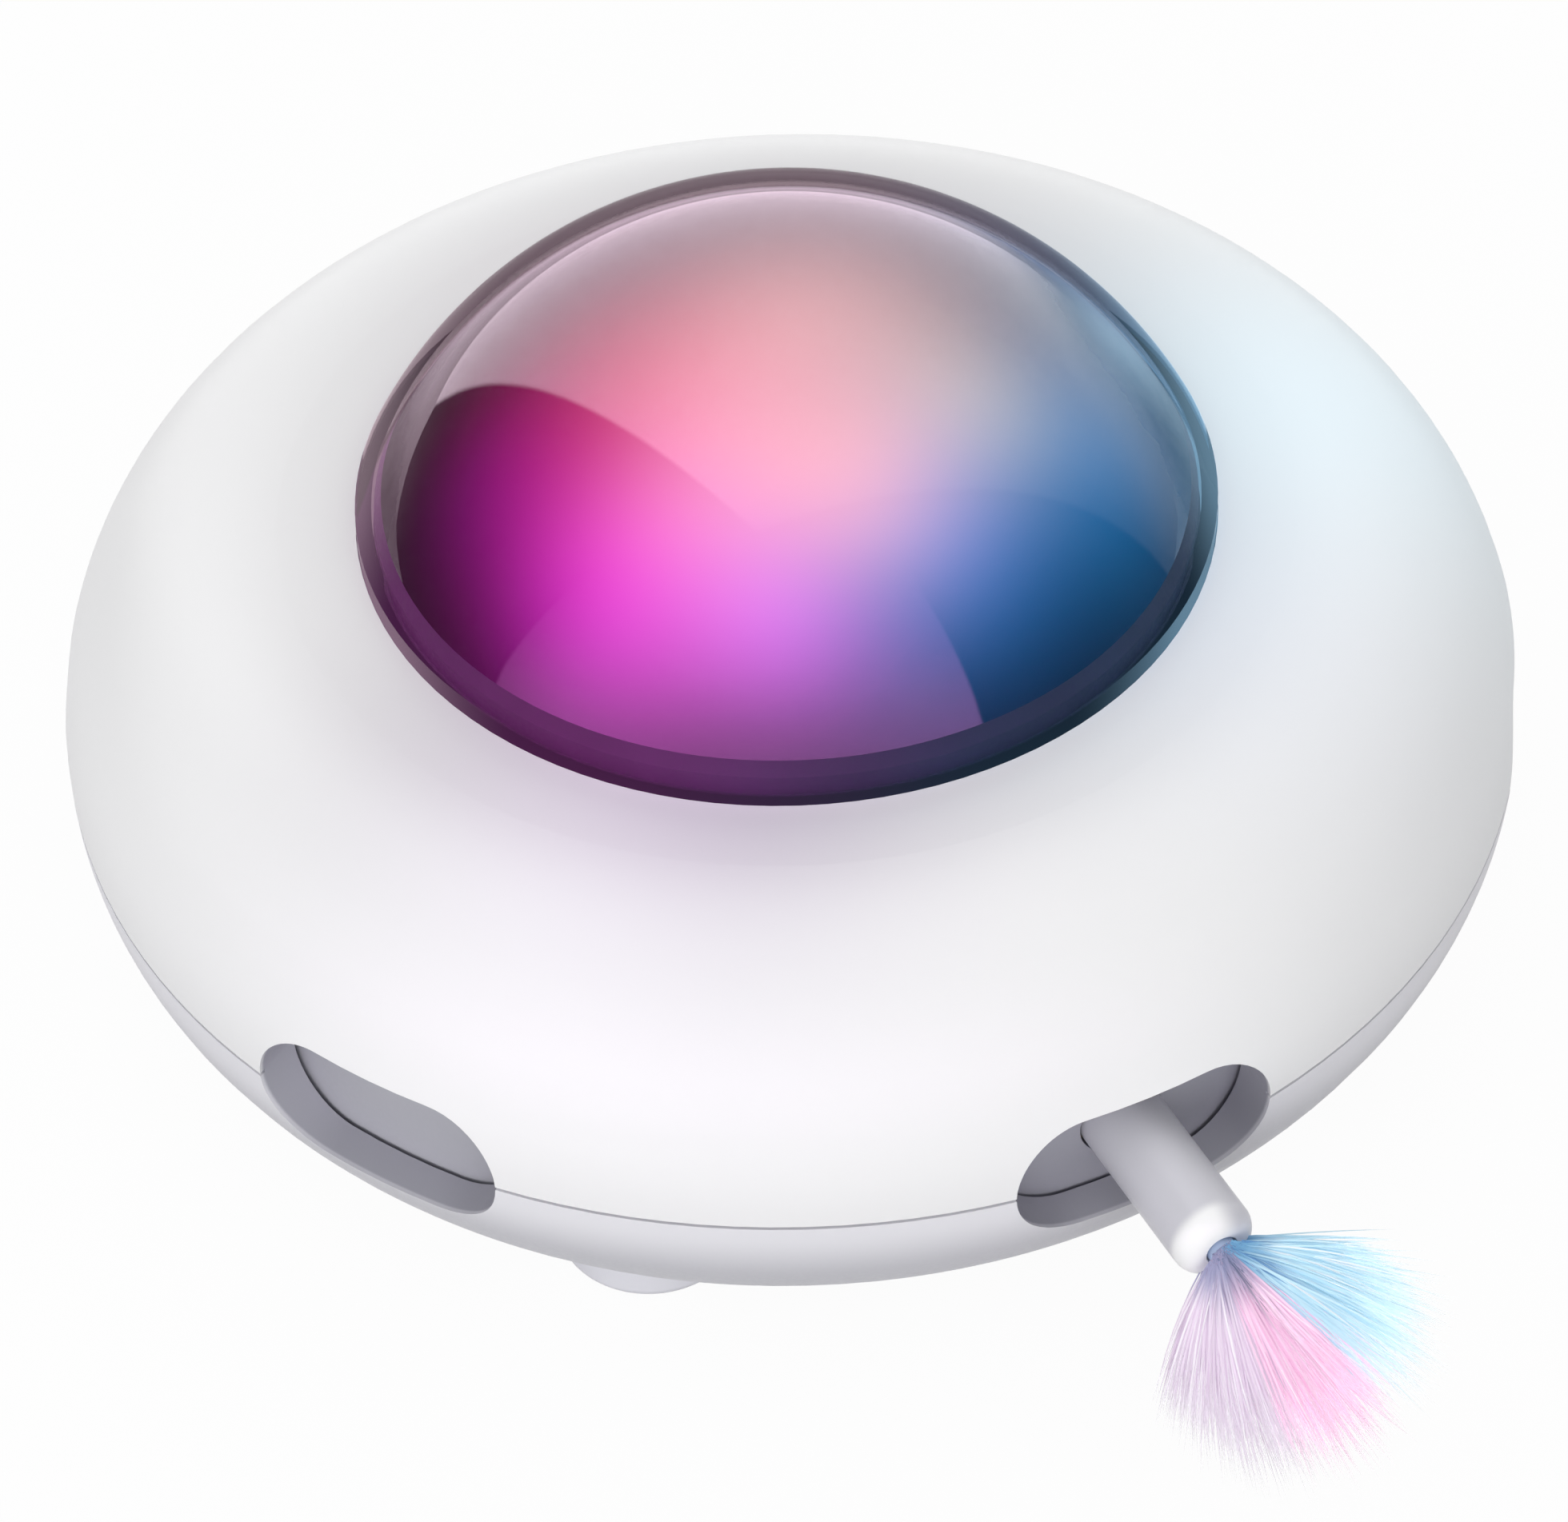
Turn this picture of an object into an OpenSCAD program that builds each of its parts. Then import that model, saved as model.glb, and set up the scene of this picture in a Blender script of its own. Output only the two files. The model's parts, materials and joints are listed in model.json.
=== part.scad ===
// Automatic cat feather toy: a pebble-shaped housing with six openings, a lit dome,
// and a feather wand that slides out through an opening and sways in it.
// Millimetres. Z is up, the floor is z = 0 and the housing's axis is the Z axis.

/* [Housing] */
// Diameter of the housing
body_d = 180; // [178:1:184]
// Rounding of the upper rim
rim_top_r = 28.3; // [28:0.1:29]
// Rounding of the lower rim
rim_low_r = 28; // [27.5:0.1:29]
// Straight band between the two roundings
band_h = 1.3; // [1:0.1:1.8]
// Depth of the lower shell below the seam
low_depth = 24.7; // [24.4:0.1:25.2]
// Wall thickness of both shells
wall_t = 2.6; // [2.4:0.1:2.8]
// Height of the groove that shows as the seam line
seam_gap = 0.45; // [0.3:0.05:0.7]
// Depth of the seam groove
seam_cut = 0.9; // [0.6:0.1:1.2]
// Thickness of the tongue that centres the shells
tongue_t = 1.4; // [1.2:0.1:1.6]
// Height of the tongue above the seam
tongue_h = 2.4; // [2.2:0.1:3]
// Height of the snap bead on the tongue
bead_h = 0.35; // [0.25:0.05:0.4]

/* [Openings] */
// Number of openings round the rim
slot_n = 6; // [5:1:7]
// Width of an opening
slot_w = 33.4; // [31:0.2:34]
// Height of an opening
slot_h = 17.8; // [16.8:0.2:18.4]
// Wall of the collar round an opening
collar_t = 1.8; // [1.4:0.1:2.2]
// Depth of the collar inside the housing wall
collar_in = 3.8; // [3.2:0.1:4.2]

/* [Dome] */
// Diameter of the clear dome
dome_d = 104; // [102:0.5:106]
// Height of the clear dome
dome_h = 36; // [34:0.5:38]
// Straight band at the foot of the dome
dome_band = 3.2; // [2.6:0.1:3.6]
// Wall of the clear dome
dome_wall = 2.1; // [1.9:0.1:2.5]
// Depth of the seat that the dome stands in
seat_d = 0.6; // [0.5:0.1:1]
// Height of the dark ring inside the dome's foot
ring_h = 4.5; // [4:0.1:5]
// Thickness of the dark ring's lip under the dome's foot
ring_lip = 0.6; // [0.5:0.1:0.8]
// Wall of the diffuser
diffuser_wall = 1.5; // [1.2:0.1:1.7]
// Width of the ledge that the dome stands on
seat_ledge = 6; // [5.5:0.25:6.5]

/* [Light] */
// Distance of the deck's screws outside the light hole
deck_screw_out = 6.5; // [5.5:0.1:7]
// Edge of the light deck outside its screws
deck_edge = 4.5; // [3.6:0.1:6]
// Thickness of the light deck
deck_t = 2; // [1.6:0.1:2.4]
// Depth of the light deck's top below the housing's top
deck_drop = 5.8; // [5.4:0.1:6.4]
// Diameter of the lamp board
lamp_board_d = 76; // [72:1:80]
// Number of lamps
lamp_n = 10; // [6:1:12]
// Side of a lamp
lamp_w = 3.5; // [2.8:0.1:5]
// Height of a lamp
lamp_h = 1.6; // [1:0.1:2]

/* [Wand] */
// Direction of the wand round the housing
wand_az = -60; // [-64:1:-56]
// Diameter of the wand tube
tube_d = 10; // [9.6:0.1:10.4]
// Bore of the wand tube
tube_bore = 6; // [5.4:0.1:6.6]
// Length of the wand that stands out of the housing
wand_out = 16; // [15:0.5:17]
// Rounding of the wand's end
tip_r = 2.6; // [2:0.1:2.8]
// Length of the tube
tube_l = 48; // [47:0.5:49]
// Diameter of the feather's ferrule
ferrule_d = 4; // [3.6:0.1:4.3]
// Length of the ferrule
ferrule_l = 9; // [7:0.5:11]
// Travel of the wand, given to the joint and to the rack's length
wand_stroke = 22; // [21:0.2:22.2]

/* [Feather] */
// Length of the blue plume
blue_l = 29; // [25:0.5:30]
// Length of the pink plume
pink_l = 32; // [27:0.5:33]
// Length of the lilac plume
lilac_l = 26.5; // [22:0.5:27.5]
// Thickness of a plume
plume_t = 2.4; // [1.6:0.1:3]
// Half the spread of one plume, degrees
plume_half = 14.2; // [10:0.2:14.6]
// Number of wisps in a plume
wisp_n = 7; // [5:1:9]
// Depth of the notch between wisps, as a share of the length
wisp_cut = 0.2; // [0.1:0.02:0.3]
// Lean of the fan of plumes from upright, degrees
fan_lean = 46.4; // [42:0.2:50]
// Turn of the fan of plumes away from the wand, degrees
fan_turn = -26.2; // [-30:0.2:-22]

/* [Carousel] */
// Gap between the drum and the collars of the openings
drum_gap = 0.6; // [0.5:0.1:1.1]
// Wall of the drum
drum_t = 2.2; // [1.8:0.1:2.6]
// Height of the drum's upper edge above the floor
drum_top = 41; // [40:0.2:41.4]
// Height of the carousel's disc above the floor
disc_z = 15; // [15:0.1:15.4]
// Thickness of the carousel's disc
disc_t = 2.4; // [2:0.1:2.4]
// Radius of the journal that the carousel turns on
journal_r = 33; // [32.9:0.02:33.1]
// Radius of the bearing flange under the disc
flange_r = 35.4; // [35:0.1:35.6]
// Thickness of the bearing flange
flange_t = 1.4; // [1.2:0.1:1.6]

/* [Drive] */
// Module of the ring gear and its pinion
turn_m = 1; // [1:0.1:1]
// Teeth of the ring gear
ring_teeth = 69; // [69:1:69]
// Teeth of the turn pinion
turn_teeth = 20; // [20:1:20]
// Module of the rack and its pinion
rack_m = 0.8; // [0.8:0.1:0.8]
// Teeth of the wand pinion
wand_teeth = 12; // [12:1:12]
// Pressure angle of every gear
pressure = 25; // [24:0.5:26]
// Thinning of each tooth for free running
backlash = 0.14; // [0.1:0.02:0.2]
// Width of the ring gear and the turn pinion
ring_w = 5; // [4:0.2:5.2]
// Height of the rack and the wand pinion
rack_w = 4; // [3.4:0.2:4.2]
// Depth of the rack bar behind its teeth
rack_back = 3.2; // [2.8:0.1:3.4]
// Width of a gear motor
motor_w = 12; // [11.4:0.1:12.4]
// Depth of a gear motor
motor_d = 10; // [9.6:0.1:10.4]
// Length of a gear motor without its shaft
motor_l = 20; // [19:0.2:20.2]
// Length of a gear motor's gearbox
gearbox_l = 9; // [8:0.2:10]
// Diameter of a motor shaft
shaft_d = 3; // [2.8:0.05:3.2]

/* [Carriage] */
// Length of the carriage along the wand
carriage_l = 16; // [14:0.5:17]
// Width of the carriage
carriage_w = 18; // [17.4:0.2:18.4]
// Height of the rack's underside above the floor
rack_z = 38; // [37.9:0.1:38.6]
// Thickness of the guide's base plate
guide_t = 1.2; // [1:0.1:1.4]
// Thickness of a rail
rail_t = 2; // [1.6:0.1:2.4]
// Reach of a rail's lip into the carriage
rail_lip = 1.8; // [1.4:0.1:2]
// Gap between the carriage and the bush with the wand out
carriage_gap = 3.3; // [3:0.1:4]
// Gap between the guide and the bush
guide_gap = 1.8; // [1:0.1:2.4]
// Length of the guide
guide_l = 34; // [32:0.5:34.4]

/* [Base] */
// Length of the battery
battery_l = 46; // [40:1:47]
// Depth of the battery
battery_w = 18; // [16:0.5:24]
// Height of the battery
battery_h = 8; // [6:0.2:8.6]
// Length of the main board
board_l = 44; // [40:1:46]
// Depth of the main board
board_w = 24; // [24:0.5:30]
// Thickness of the main board
board_t = 1.6; // [1.2:0.1:1.6]
// Height of the main board above the floor
board_z = 7.6; // [7.4:0.1:8]
// Width of the charging socket
usb_w = 8.94; // [8.9:0.02:9]
// Height of the charging socket
usb_h = 3.26; // [3.2:0.02:3.3]
// Length of the charging socket
usb_l = 10.5; // [10:0.1:11]
// Length of the switch body
switch_l = 8.6; // [8:0.2:9.6]
// Width of the switch body
switch_w = 4.4; // [4:0.1:5]
// Height of the switch body
switch_h = 4; // [3.6:0.1:4.6]
// Distance of the switch inside the housing's edge
switch_in = 30; // [26:0.5:34]
// Travel of the switch knob, given to the joint
switch_travel = 3; // [2.4:0.1:3]

/* [Feet] */
// Diameter of a foot
foot_d = 22.4; // [20:0.2:23]
// Height of a foot under the housing
foot_h = 3; // [2.8:0.1:3.2]
// Distance of a foot's middle inside the housing's edge
foot_in = 22; // [21.4:0.2:24]
// Direction of the front foot
foot_az = -102; // [-106:1:-98]
// Rounding of a foot's lower edge
foot_round = 1.4; // [1:0.1:2]

/* [Fasteners] */
// Diameter of a screw
screw_d = 2; // [1.8:0.1:2.2]
// Diameter of a screw head
head_d = 3.8; // [3.6:0.1:4]
// Height of a screw head
head_h = 1.3; // [1.1:0.1:1.5]

/* [Fits] */
// Running fit on radius
run_fit = 0.06; // [0.04:0.01:0.08]
// Easy fit on radius for pieces that are only put together
slip_fit = 0.1; // [0.08:0.01:0.15]
// Air between pieces that pass each other
air = 0.3; // [0.3:0.02:0.36]

/* [Hidden] */
$fn = 96;
eps = 0.01;
over = 5;
body_r = body_d / 2;
base_z = foot_h;
floor_z = base_z + wall_t;
seam_z = base_z + low_depth;
rim_z = seam_z + band_h;
top_z = rim_z + rim_top_r;
ceiling_z = top_z - wall_t;
inner_r = body_r - wall_t;
collar_r = inner_r - collar_in;
slot_step = 360 / slot_n;
tongue_r = inner_r - 2 * slip_fit;
tongue_root = 6;
bead_z = tongue_h / 2;
bead_w = 0.7;
drum_r = collar_r - drum_gap;
hole_r = tube_d / 2 + air;
// Dome
dome_r = dome_d / 2;
seat_z = top_z - seat_d;
cap_h = dome_h - dome_band;
cap_r = (dome_r * dome_r + cap_h * cap_h) / (2 * cap_h);
cap_z = seat_z + dome_h - cap_r;
diffuser_r = cap_r - dome_wall - air;
pocket_z = seat_z - ring_lip;
ring_top = seat_z + ring_h;
light_hole_r = dome_r - seat_ledge;
spigot_r = light_hole_r - slip_fit;
spigot_t = 1.9;
spigot_l = 3.8;
// Light
deck_z = top_z - deck_drop;
lamp_board_t = 1.6;
lamp_in = 6;
lamp_at = lamp_board_d / 2 - lamp_in;
deck_boss_d = 6.4;
deck_screw_at = light_hole_r + deck_screw_out;
deck_screw_l = 4.4;
deck_screw_n = 4;
// Wand
wand_z = seam_z;
tip_x = body_r + wand_out;
tube_x = tip_x - tube_l;
ferrule_set = 1;
ferrule_x = tip_x - ferrule_set;
nose_r = 1.75;
nose_out = 0.3;
fan_x = tip_x + nose_out;
quill_d = 0.9;
quill_gap = 0.05;
quill_from = nose_r + quill_gap;
fan_from = 3;
fan_step = 30;
// Carousel and bush
bush_t = 1.5;
bush_r = tube_d / 2 + bush_t;
bush_in = 6;
bush_x = drum_r - drum_t - bush_in;
bush_set = 2;
bush_end = drum_r - bush_set;
bush_flange_t = 1.5;
boss_t = 3.5;
boss_r = tube_d / 2 + boss_t;
rest_gap = 0.05;
disc_top = disc_z + disc_t;
drum_lift = 0.6;
drum_z = disc_z + drum_lift;
// Gears
ring_pitch_r = turn_m * ring_teeth / 2;
turn_pitch_r = turn_m * turn_teeth / 2;
turn_at = ring_pitch_r - turn_pitch_r;
rack_pitch_r = rack_m * wand_teeth / 2;
rack_pitch = PI * rack_m;
ring_drop = 2;
ring_z = disc_z - ring_drop - ring_w;
ring_collar_r = flange_r + 2 * air;
ring_wall = 2.2;
ring_out_r = ring_collar_r + ring_wall;
flank_steps = 4;
// Chassis
chassis_z = disc_z - rest_gap - flange_t;
post_d = 6.8;
posts = [[22, 14], [22, -14], [-4, 25], [-4, -25]];
chassis_screw_l = 7;
socket_t = 1.5;
socket_h = 6.6;
socket_top = disc_top + socket_h;
motor_base = 10;
shaft_boss_h = 1;
shaft_boss_d = 4;
// Guide and carriage
guide_x = bush_x - bush_flange_t - guide_gap - guide_l;
rail_y = carriage_w / 2 + air;
rail_drop = 2.7;
rail_z = wand_z - rail_drop;
rail_lip_h = 2;
guide_screw_in = 4;
guide_screw_y = rail_y + rail_t + head_d / 2 + air;
guide_w = 2 * guide_screw_y + head_d + 2 * air;
guide_screws_at = [[guide_x + guide_screw_in, guide_screw_y],
                   [guide_x + guide_l - guide_screw_in, guide_screw_y]];
guide_screw_l = 3;
carriage_x = bush_x - bush_flange_t - carriage_gap - carriage_l;
carriage_z = disc_top + guide_t + air;
rack_reach = 6.5;
rack_lead = 1.5;
rack_from = -rack_reach - rack_lead;
rack_teeth = ceil((wand_stroke + 2 * rack_reach) / rack_pitch);
rack_screw_in = 3.5;
rack_screw_y = rack_pitch_r + rack_m + rack_back / 2;
rack_screw_l = 8.6;
// Base
battery_az = 180;
rib_t = 1.4;
rib_h = 3;
rib_l = battery_l + 2 * (slip_fit + rib_t);
battery_x = chord_at(inner_wall(floor_z), rib_l) - air - rib_t - slip_fit - battery_w / 2;
board_az = 90;
board_out = chord_at(inner_wall(board_z), board_l) - 2 * air;
board_in = board_out - board_w;
board_screw_in = 4;
nose_w = 12;
nose_end = chord_at(inner_wall(board_z), nose_w) - 2 * air;
chip_w = 8;
chip_h = 1.2;
charger_w = 5;
coil_d = 6;
usb_set = 0.35;
usb_z = board_z + board_t + usb_h / 2;
usb_y = outer_wall(usb_z) - usb_set - usb_l;
usb_hollow = 6.5;
usb_wall = 0.35;
usb_tongue_in = 1.2;
usb_tongue_set = 1;
plug_w = 13;
plug_h = 7.6;
plug_at = outer_wall(usb_z);
standoff_d = 5;
board_screw_l = 3.2;
switch_at = body_r - switch_in;
switch_az = 45;
knob_l = 5.4;
knob_w = 4.4;
knob_h = 1;
stem_w = 1.8;
recess_d = 1.5;
foot_at = body_r - foot_in;
peg_d = 9;
peg_h = 1.2;

// Radius of the lower shell's inner face at height z
function inner_wall(z) =
  body_r - rim_low_r + sqrt(pow(rim_low_r - wall_t, 2) - pow(seam_z - z, 2));

// Radius of the lower shell's outer face at height z
function outer_wall(z) = body_r - rim_low_r + sqrt(pow(rim_low_r, 2) - pow(seam_z - z, 2));

// Distance from the axis at which the ends of a flat edge meet a circle of radius r
function chord_at(r, width) = sqrt(r * r - width * width / 4);

// Half profile of the upper housing, drawn in by inset and open down to low
module upper_outline(inset, low) {
  rim_x = body_r - rim_top_r;
  intersection() {
    translate([0, low]) square([body_r, top_z - inset - low]);
    union() {
      translate([0, low]) square([rim_x, top_z - inset - low]);
      translate([0, low]) square([body_r - inset, rim_z - low]);
      translate([rim_x, rim_z]) circle(rim_top_r - inset);
    }
  }
}

// Half profile of the lower housing, drawn in by inset and open up to high
module lower_outline(inset, high) {
  rim_x = body_r - rim_low_r;
  intersection() {
    translate([0, base_z + inset]) square([body_r, high - base_z - inset]);
    union() {
      translate([0, base_z + inset]) square([rim_x, high - base_z - inset]);
      translate([0, seam_z]) square([body_r - inset, high - seam_z + eps]);
      translate([rim_x, seam_z]) circle(rim_low_r - inset);
    }
  }
}

// Stadium with straight long sides, height along x and width along y
module stadium(height, width) {
  square([height, width - height], center = true);
  for (side = [-1, 1])
    translate([0, side * (width - height) / 2]) circle(height / 2);
}

// The six openings as solid prisms, enlarged all round by grow
module slot_prisms(grow, from_r, to_r) {
  for (k = [0 : slot_n - 1])
    rotate([0, 0, wand_az + k * slot_step])
      translate([from_r, 0, seam_z])
        rotate([0, 90, 0])
          linear_extrude(to_r - from_r)
            stadium(slot_h + 2 * grow, slot_w + 2 * grow);
}

// Flat ring of square section
module hoop(r_in, r_out, z_from, z_to) {
  rotate_extrude()
    translate([r_in, z_from]) square([r_out - r_in, z_to - z_from]);
}

// Screw with its head's underside at z = 0 and its shank down
module screw(length) {
  cylinder(h = head_h, d = head_d);
  translate([0, 0, -length]) cylinder(h = length + eps, d = screw_d);
}

// Hole that a screw's shank stands in
module screw_hole(length) {
  translate([0, 0, -length - air])
    cylinder(h = length + air + over, d = screw_d + slip_fit);
}

// Places its children in the wand's frame, where the wand points along x
module along_wand() {
  rotate([0, 0, wand_az]) children();
}

// Angle in degrees that an involute has unrolled at radius r
function involute(r, base_r) =
  sqrt(max(pow(r / base_r, 2) - 1, 0)) * 180 / PI - acos(min(base_r / r, 1));

// Gear outline: teeth of module m, tip and root given from the pitch line
module gear_outline(m, teeth, tip, root, thin) {
  pitch_r = m * teeth / 2;
  base_r = pitch_r * cos(pressure);
  root_r = pitch_r - root;
  from_r = max(root_r, base_r);
  radii = concat(root_r < base_r ? [root_r] : [],
    [for (i = [0 : flank_steps]) from_r + (pitch_r + tip - from_r) * i / flank_steps]);
  half = 90 / teeth - thin / (2 * pitch_r) * 180 / PI + involute(pitch_r, base_r);
  last = len(radii) - 1;
  polygon([for (k = [0 : teeth - 1], side = [-1, 1], i = [0 : last])
    let (r = radii[side < 0 ? i : last - i],
         a = k * 360 / teeth + side * (half - involute(max(r, base_r), base_r)))
    [r * cos(a), r * sin(a)]]);
}

// Gear motor with its gearbox up and its shaft along z, standing on z = 0
module gear_motor(shaft_l) {
  can_l = motor_l - gearbox_l;
  intersection() {
    cylinder(h = can_l, d = motor_w);
    translate([-motor_w / 2, -motor_d / 2, 0]) cube([motor_w, motor_d, can_l]);
  }
  translate([-motor_w / 2, -motor_d / 2, can_l]) cube([motor_w, motor_d, gearbox_l]);
  translate([0, 0, motor_l - eps]) cylinder(h = shaft_boss_h, d = shaft_boss_d);
  translate([0, 0, motor_l - eps]) cylinder(h = shaft_l, d = shaft_d);
}

// Upper shell with the dome's seat, the collars and the bosses for the light deck
module top_shell() {
  color("white")
  difference() {
    union() {
      rotate_extrude()
        difference() {
          upper_outline(0, seam_z);
          upper_outline(wall_t, seam_z - over);
        }
      intersection() {
        slot_prisms(collar_t, collar_r - over, body_r);
        rotate_extrude()
          difference() {
            upper_outline(wall_t / 2, seam_z);
            translate([0, seam_z - over]) square([collar_r, body_r]);
          }
      }
      for (k = [0 : deck_screw_n - 1])
        rotate([0, 0, k * 360 / deck_screw_n])
          translate([deck_screw_at, 0, deck_z])
            cylinder(h = ceiling_z - deck_z + eps, d = deck_boss_d);
    }
    slot_prisms(0, collar_r - over, body_r + over);
    translate([0, 0, pocket_z]) cylinder(h = over, r = dome_r + slip_fit);
    translate([0, 0, ceiling_z - over]) cylinder(h = 2 * over, r = light_hole_r);
    difference() {
      hoop(tongue_r - over / 10, inner_r + bead_h,
           seam_z + bead_z - slip_fit, seam_z + bead_z + bead_w + slip_fit);
      slot_prisms(collar_t, collar_r - over, body_r);
    }
    for (k = [0 : deck_screw_n - 1])
      rotate([0, 0, k * 360 / deck_screw_n])
        translate([deck_screw_at, 0, deck_z])
          cylinder(h = deck_screw_l - deck_t + air, d = screw_d + slip_fit);
  }
}

// Lower shell with the tongue, bosses, ribs, socket hole, switch recess and peg holes
module bottom_shell() {
  color("gainsboro")
  difference() {
    union() {
      rotate_extrude()
        difference() {
          lower_outline(0, seam_z);
          lower_outline(wall_t, seam_z + over);
        }
      intersection() {
        slot_prisms(collar_t, collar_r - over, body_r);
        rotate_extrude()
          difference() {
            lower_outline(wall_t / 2, seam_z);
            square([collar_r, body_r]);
          }
      }
      tongue();
      along_wand() {
        for (p = posts)
          translate([p[0], p[1], floor_z - eps])
            cylinder(h = chassis_z - floor_z + eps, d = post_d);
        wand_motor_seat();
      }
      rotate([0, 0, battery_az]) battery_ribs();
      rotate([0, 0, board_az])
        for (p = board_holes())
          translate([p[0], p[1], floor_z - eps])
            cylinder(h = board_z - floor_z + eps, d = standoff_d);
    }
    slot_prisms(0, collar_r - over, body_r + over);
    hoop(body_r - seam_cut, body_r + over, seam_z - seam_gap, seam_z + over);
    along_wand()
      for (p = posts)
        translate([p[0], p[1], disc_top]) screw_hole(chassis_screw_l);
    rotate([0, 0, board_az]) {
      for (p = board_holes())
        translate([p[0], p[1], board_z + board_t]) screw_hole(board_screw_l);
      socket_hole();
    }
    rotate([0, 0, switch_az]) translate([switch_at, 0, 0]) switch_cut();
    for (k = [0 : 3])
      rotate([0, 0, foot_az + k * 90])
        translate([foot_at, 0, base_z - over])
          cylinder(h = over + peg_h + slip_fit, d = peg_d + slip_fit);
  }
}

// Tongue inside the seam, left out at the openings, with its snap bead
module tongue() {
  difference() {
    union() {
      hoop(tongue_r - tongue_t, inner_r + wall_t / 2, seam_z - tongue_root, seam_z - seam_gap);
      hoop(tongue_r - tongue_t, tongue_r, seam_z - tongue_root, seam_z + tongue_h);
      hoop(tongue_r - tongue_t, tongue_r + bead_h, seam_z + bead_z, seam_z + bead_z + bead_w);
    }
    slot_prisms(collar_t + air, collar_r - over, body_r);
  }
}

// Seat that holds the foot of the wand's motor
module wand_motor_seat() {
  wall_x = motor_w / 2 + socket_t;
  wall_y = motor_d / 2 + socket_t;
  difference() {
    translate([-wall_x, -wall_y, floor_z - eps])
      cube([2 * wall_x, 2 * wall_y, chassis_z - floor_z - air]);
    translate([-motor_w / 2 - slip_fit, -motor_d / 2 - slip_fit, motor_base])
      cube([motor_w + 2 * slip_fit, motor_d + 2 * slip_fit, over]);
  }
}

// Low ribs round the battery
module battery_ribs() {
  rib_w = battery_w + 2 * (slip_fit + rib_t);
  difference() {
    translate([battery_x - rib_w / 2, -rib_l / 2, floor_z - eps]) cube([rib_w, rib_l, rib_h]);
    translate([battery_x - rib_w / 2 + rib_t, -rib_l / 2 + rib_t, floor_z - over])
      cube([rib_w - 2 * rib_t, rib_l - 2 * rib_t, 2 * over]);
  }
}

// Screw places on the main board, in the board's frame
function board_holes() =
  [for (side = [-1, 1]) [board_in + board_w / 2, side * (board_l / 2 - board_screw_in)]];

// Slot for the charging socket and room for the plug's grip
module socket_hole() {
  translate([usb_y, -usb_w / 2 - air, usb_z - usb_h / 2 - air])
    cube([body_r, usb_w + 2 * air, usb_h + 2 * air]);
  translate([plug_at, -plug_w / 2, usb_z - plug_h / 2]) cube([body_r, plug_w, plug_h]);
}

// Recess and slot for the switch knob
module switch_cut() {
  long_y = knob_l + switch_travel + 2 * air;
  slot_y = stem_w + switch_travel + 2 * air;
  translate([-knob_w / 2 - air, -long_y / 2, base_z - over])
    cube([knob_w + 2 * air, long_y, over + recess_d]);
  translate([-stem_w / 2 - air, -slot_y / 2, base_z - over])
    cube([stem_w + 2 * air, slot_y, over + 2 * wall_t]);
}

// Clear dome: a straight band with a ball-shaped cap
module dome_cover() {
  color("plum", 0.5)
  rotate_extrude()
    difference() {
      dome_outline(dome_r, cap_r, seat_z);
      dome_outline(dome_r - dome_wall, cap_r - dome_wall, seat_z - over);
    }
}

// Half profile of the dome: a ball cut off at its foot and pared to foot_r
module dome_outline(foot_r, ball_r, low) {
  intersection() {
    translate([0, cap_z]) circle(ball_r);
    translate([0, low]) square([foot_r, dome_h + 2 * over]);
  }
}

// Inner dome that spreads the light
module dome_diffuser() {
  color("hotpink")
  rotate_extrude()
    intersection() {
      translate([0, cap_z])
        difference() {
          circle(diffuser_r);
          circle(diffuser_r - diffuser_wall);
        }
      translate([0, ring_top]) square([diffuser_r, dome_h]);
    }
}

// Dark ring that fills the dome's foot, holds the diffuser and centres in the top's hole
module dome_ring() {
  bore_r = spigot_r - spigot_t;
  inset = dome_wall + air;
  color("dimgray")
  union() {
    rotate_extrude()
      difference() {
        intersection() {
          dome_outline(dome_r - inset, cap_r - inset, seat_z - eps);
          square([dome_r, ring_top]);
        }
        square([bore_r, ring_top + over]);
      }
    hoop(bore_r, dome_r, pocket_z, seat_z);
    hoop(bore_r, spigot_r, seat_z - spigot_l, pocket_z + eps);
  }
}

// Round deck under the top that carries the lamps
module light_deck() {
  color("whitesmoke")
  difference() {
    translate([0, 0, deck_z - deck_t]) cylinder(h = deck_t, r = deck_screw_at + deck_edge);
    for (k = [0 : deck_screw_n - 1])
      rotate([0, 0, k * 360 / deck_screw_n])
        translate([deck_screw_at, 0, deck_z - over])
          cylinder(h = 2 * over, d = screw_d + slip_fit);
  }
}

module lamp_board() {
  color("darkgreen")
  translate([0, 0, deck_z]) cylinder(h = lamp_board_t, d = lamp_board_d);
}

module lamps() {
  color("lightyellow")
  for (k = [0 : lamp_n - 1])
    rotate([0, 0, k * 360 / lamp_n])
      translate([lamp_at, 0, deck_z + lamp_board_t + lamp_h / 2])
        cube([lamp_w, lamp_w, lamp_h], center = true);
}

module deck_screws() {
  color("silver")
  for (k = [0 : deck_screw_n - 1])
    rotate([0, 0, k * 360 / deck_screw_n])
      translate([deck_screw_at, 0, deck_z - deck_t])
        rotate([180, 0, 0]) screw(deck_screw_l);
}

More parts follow.
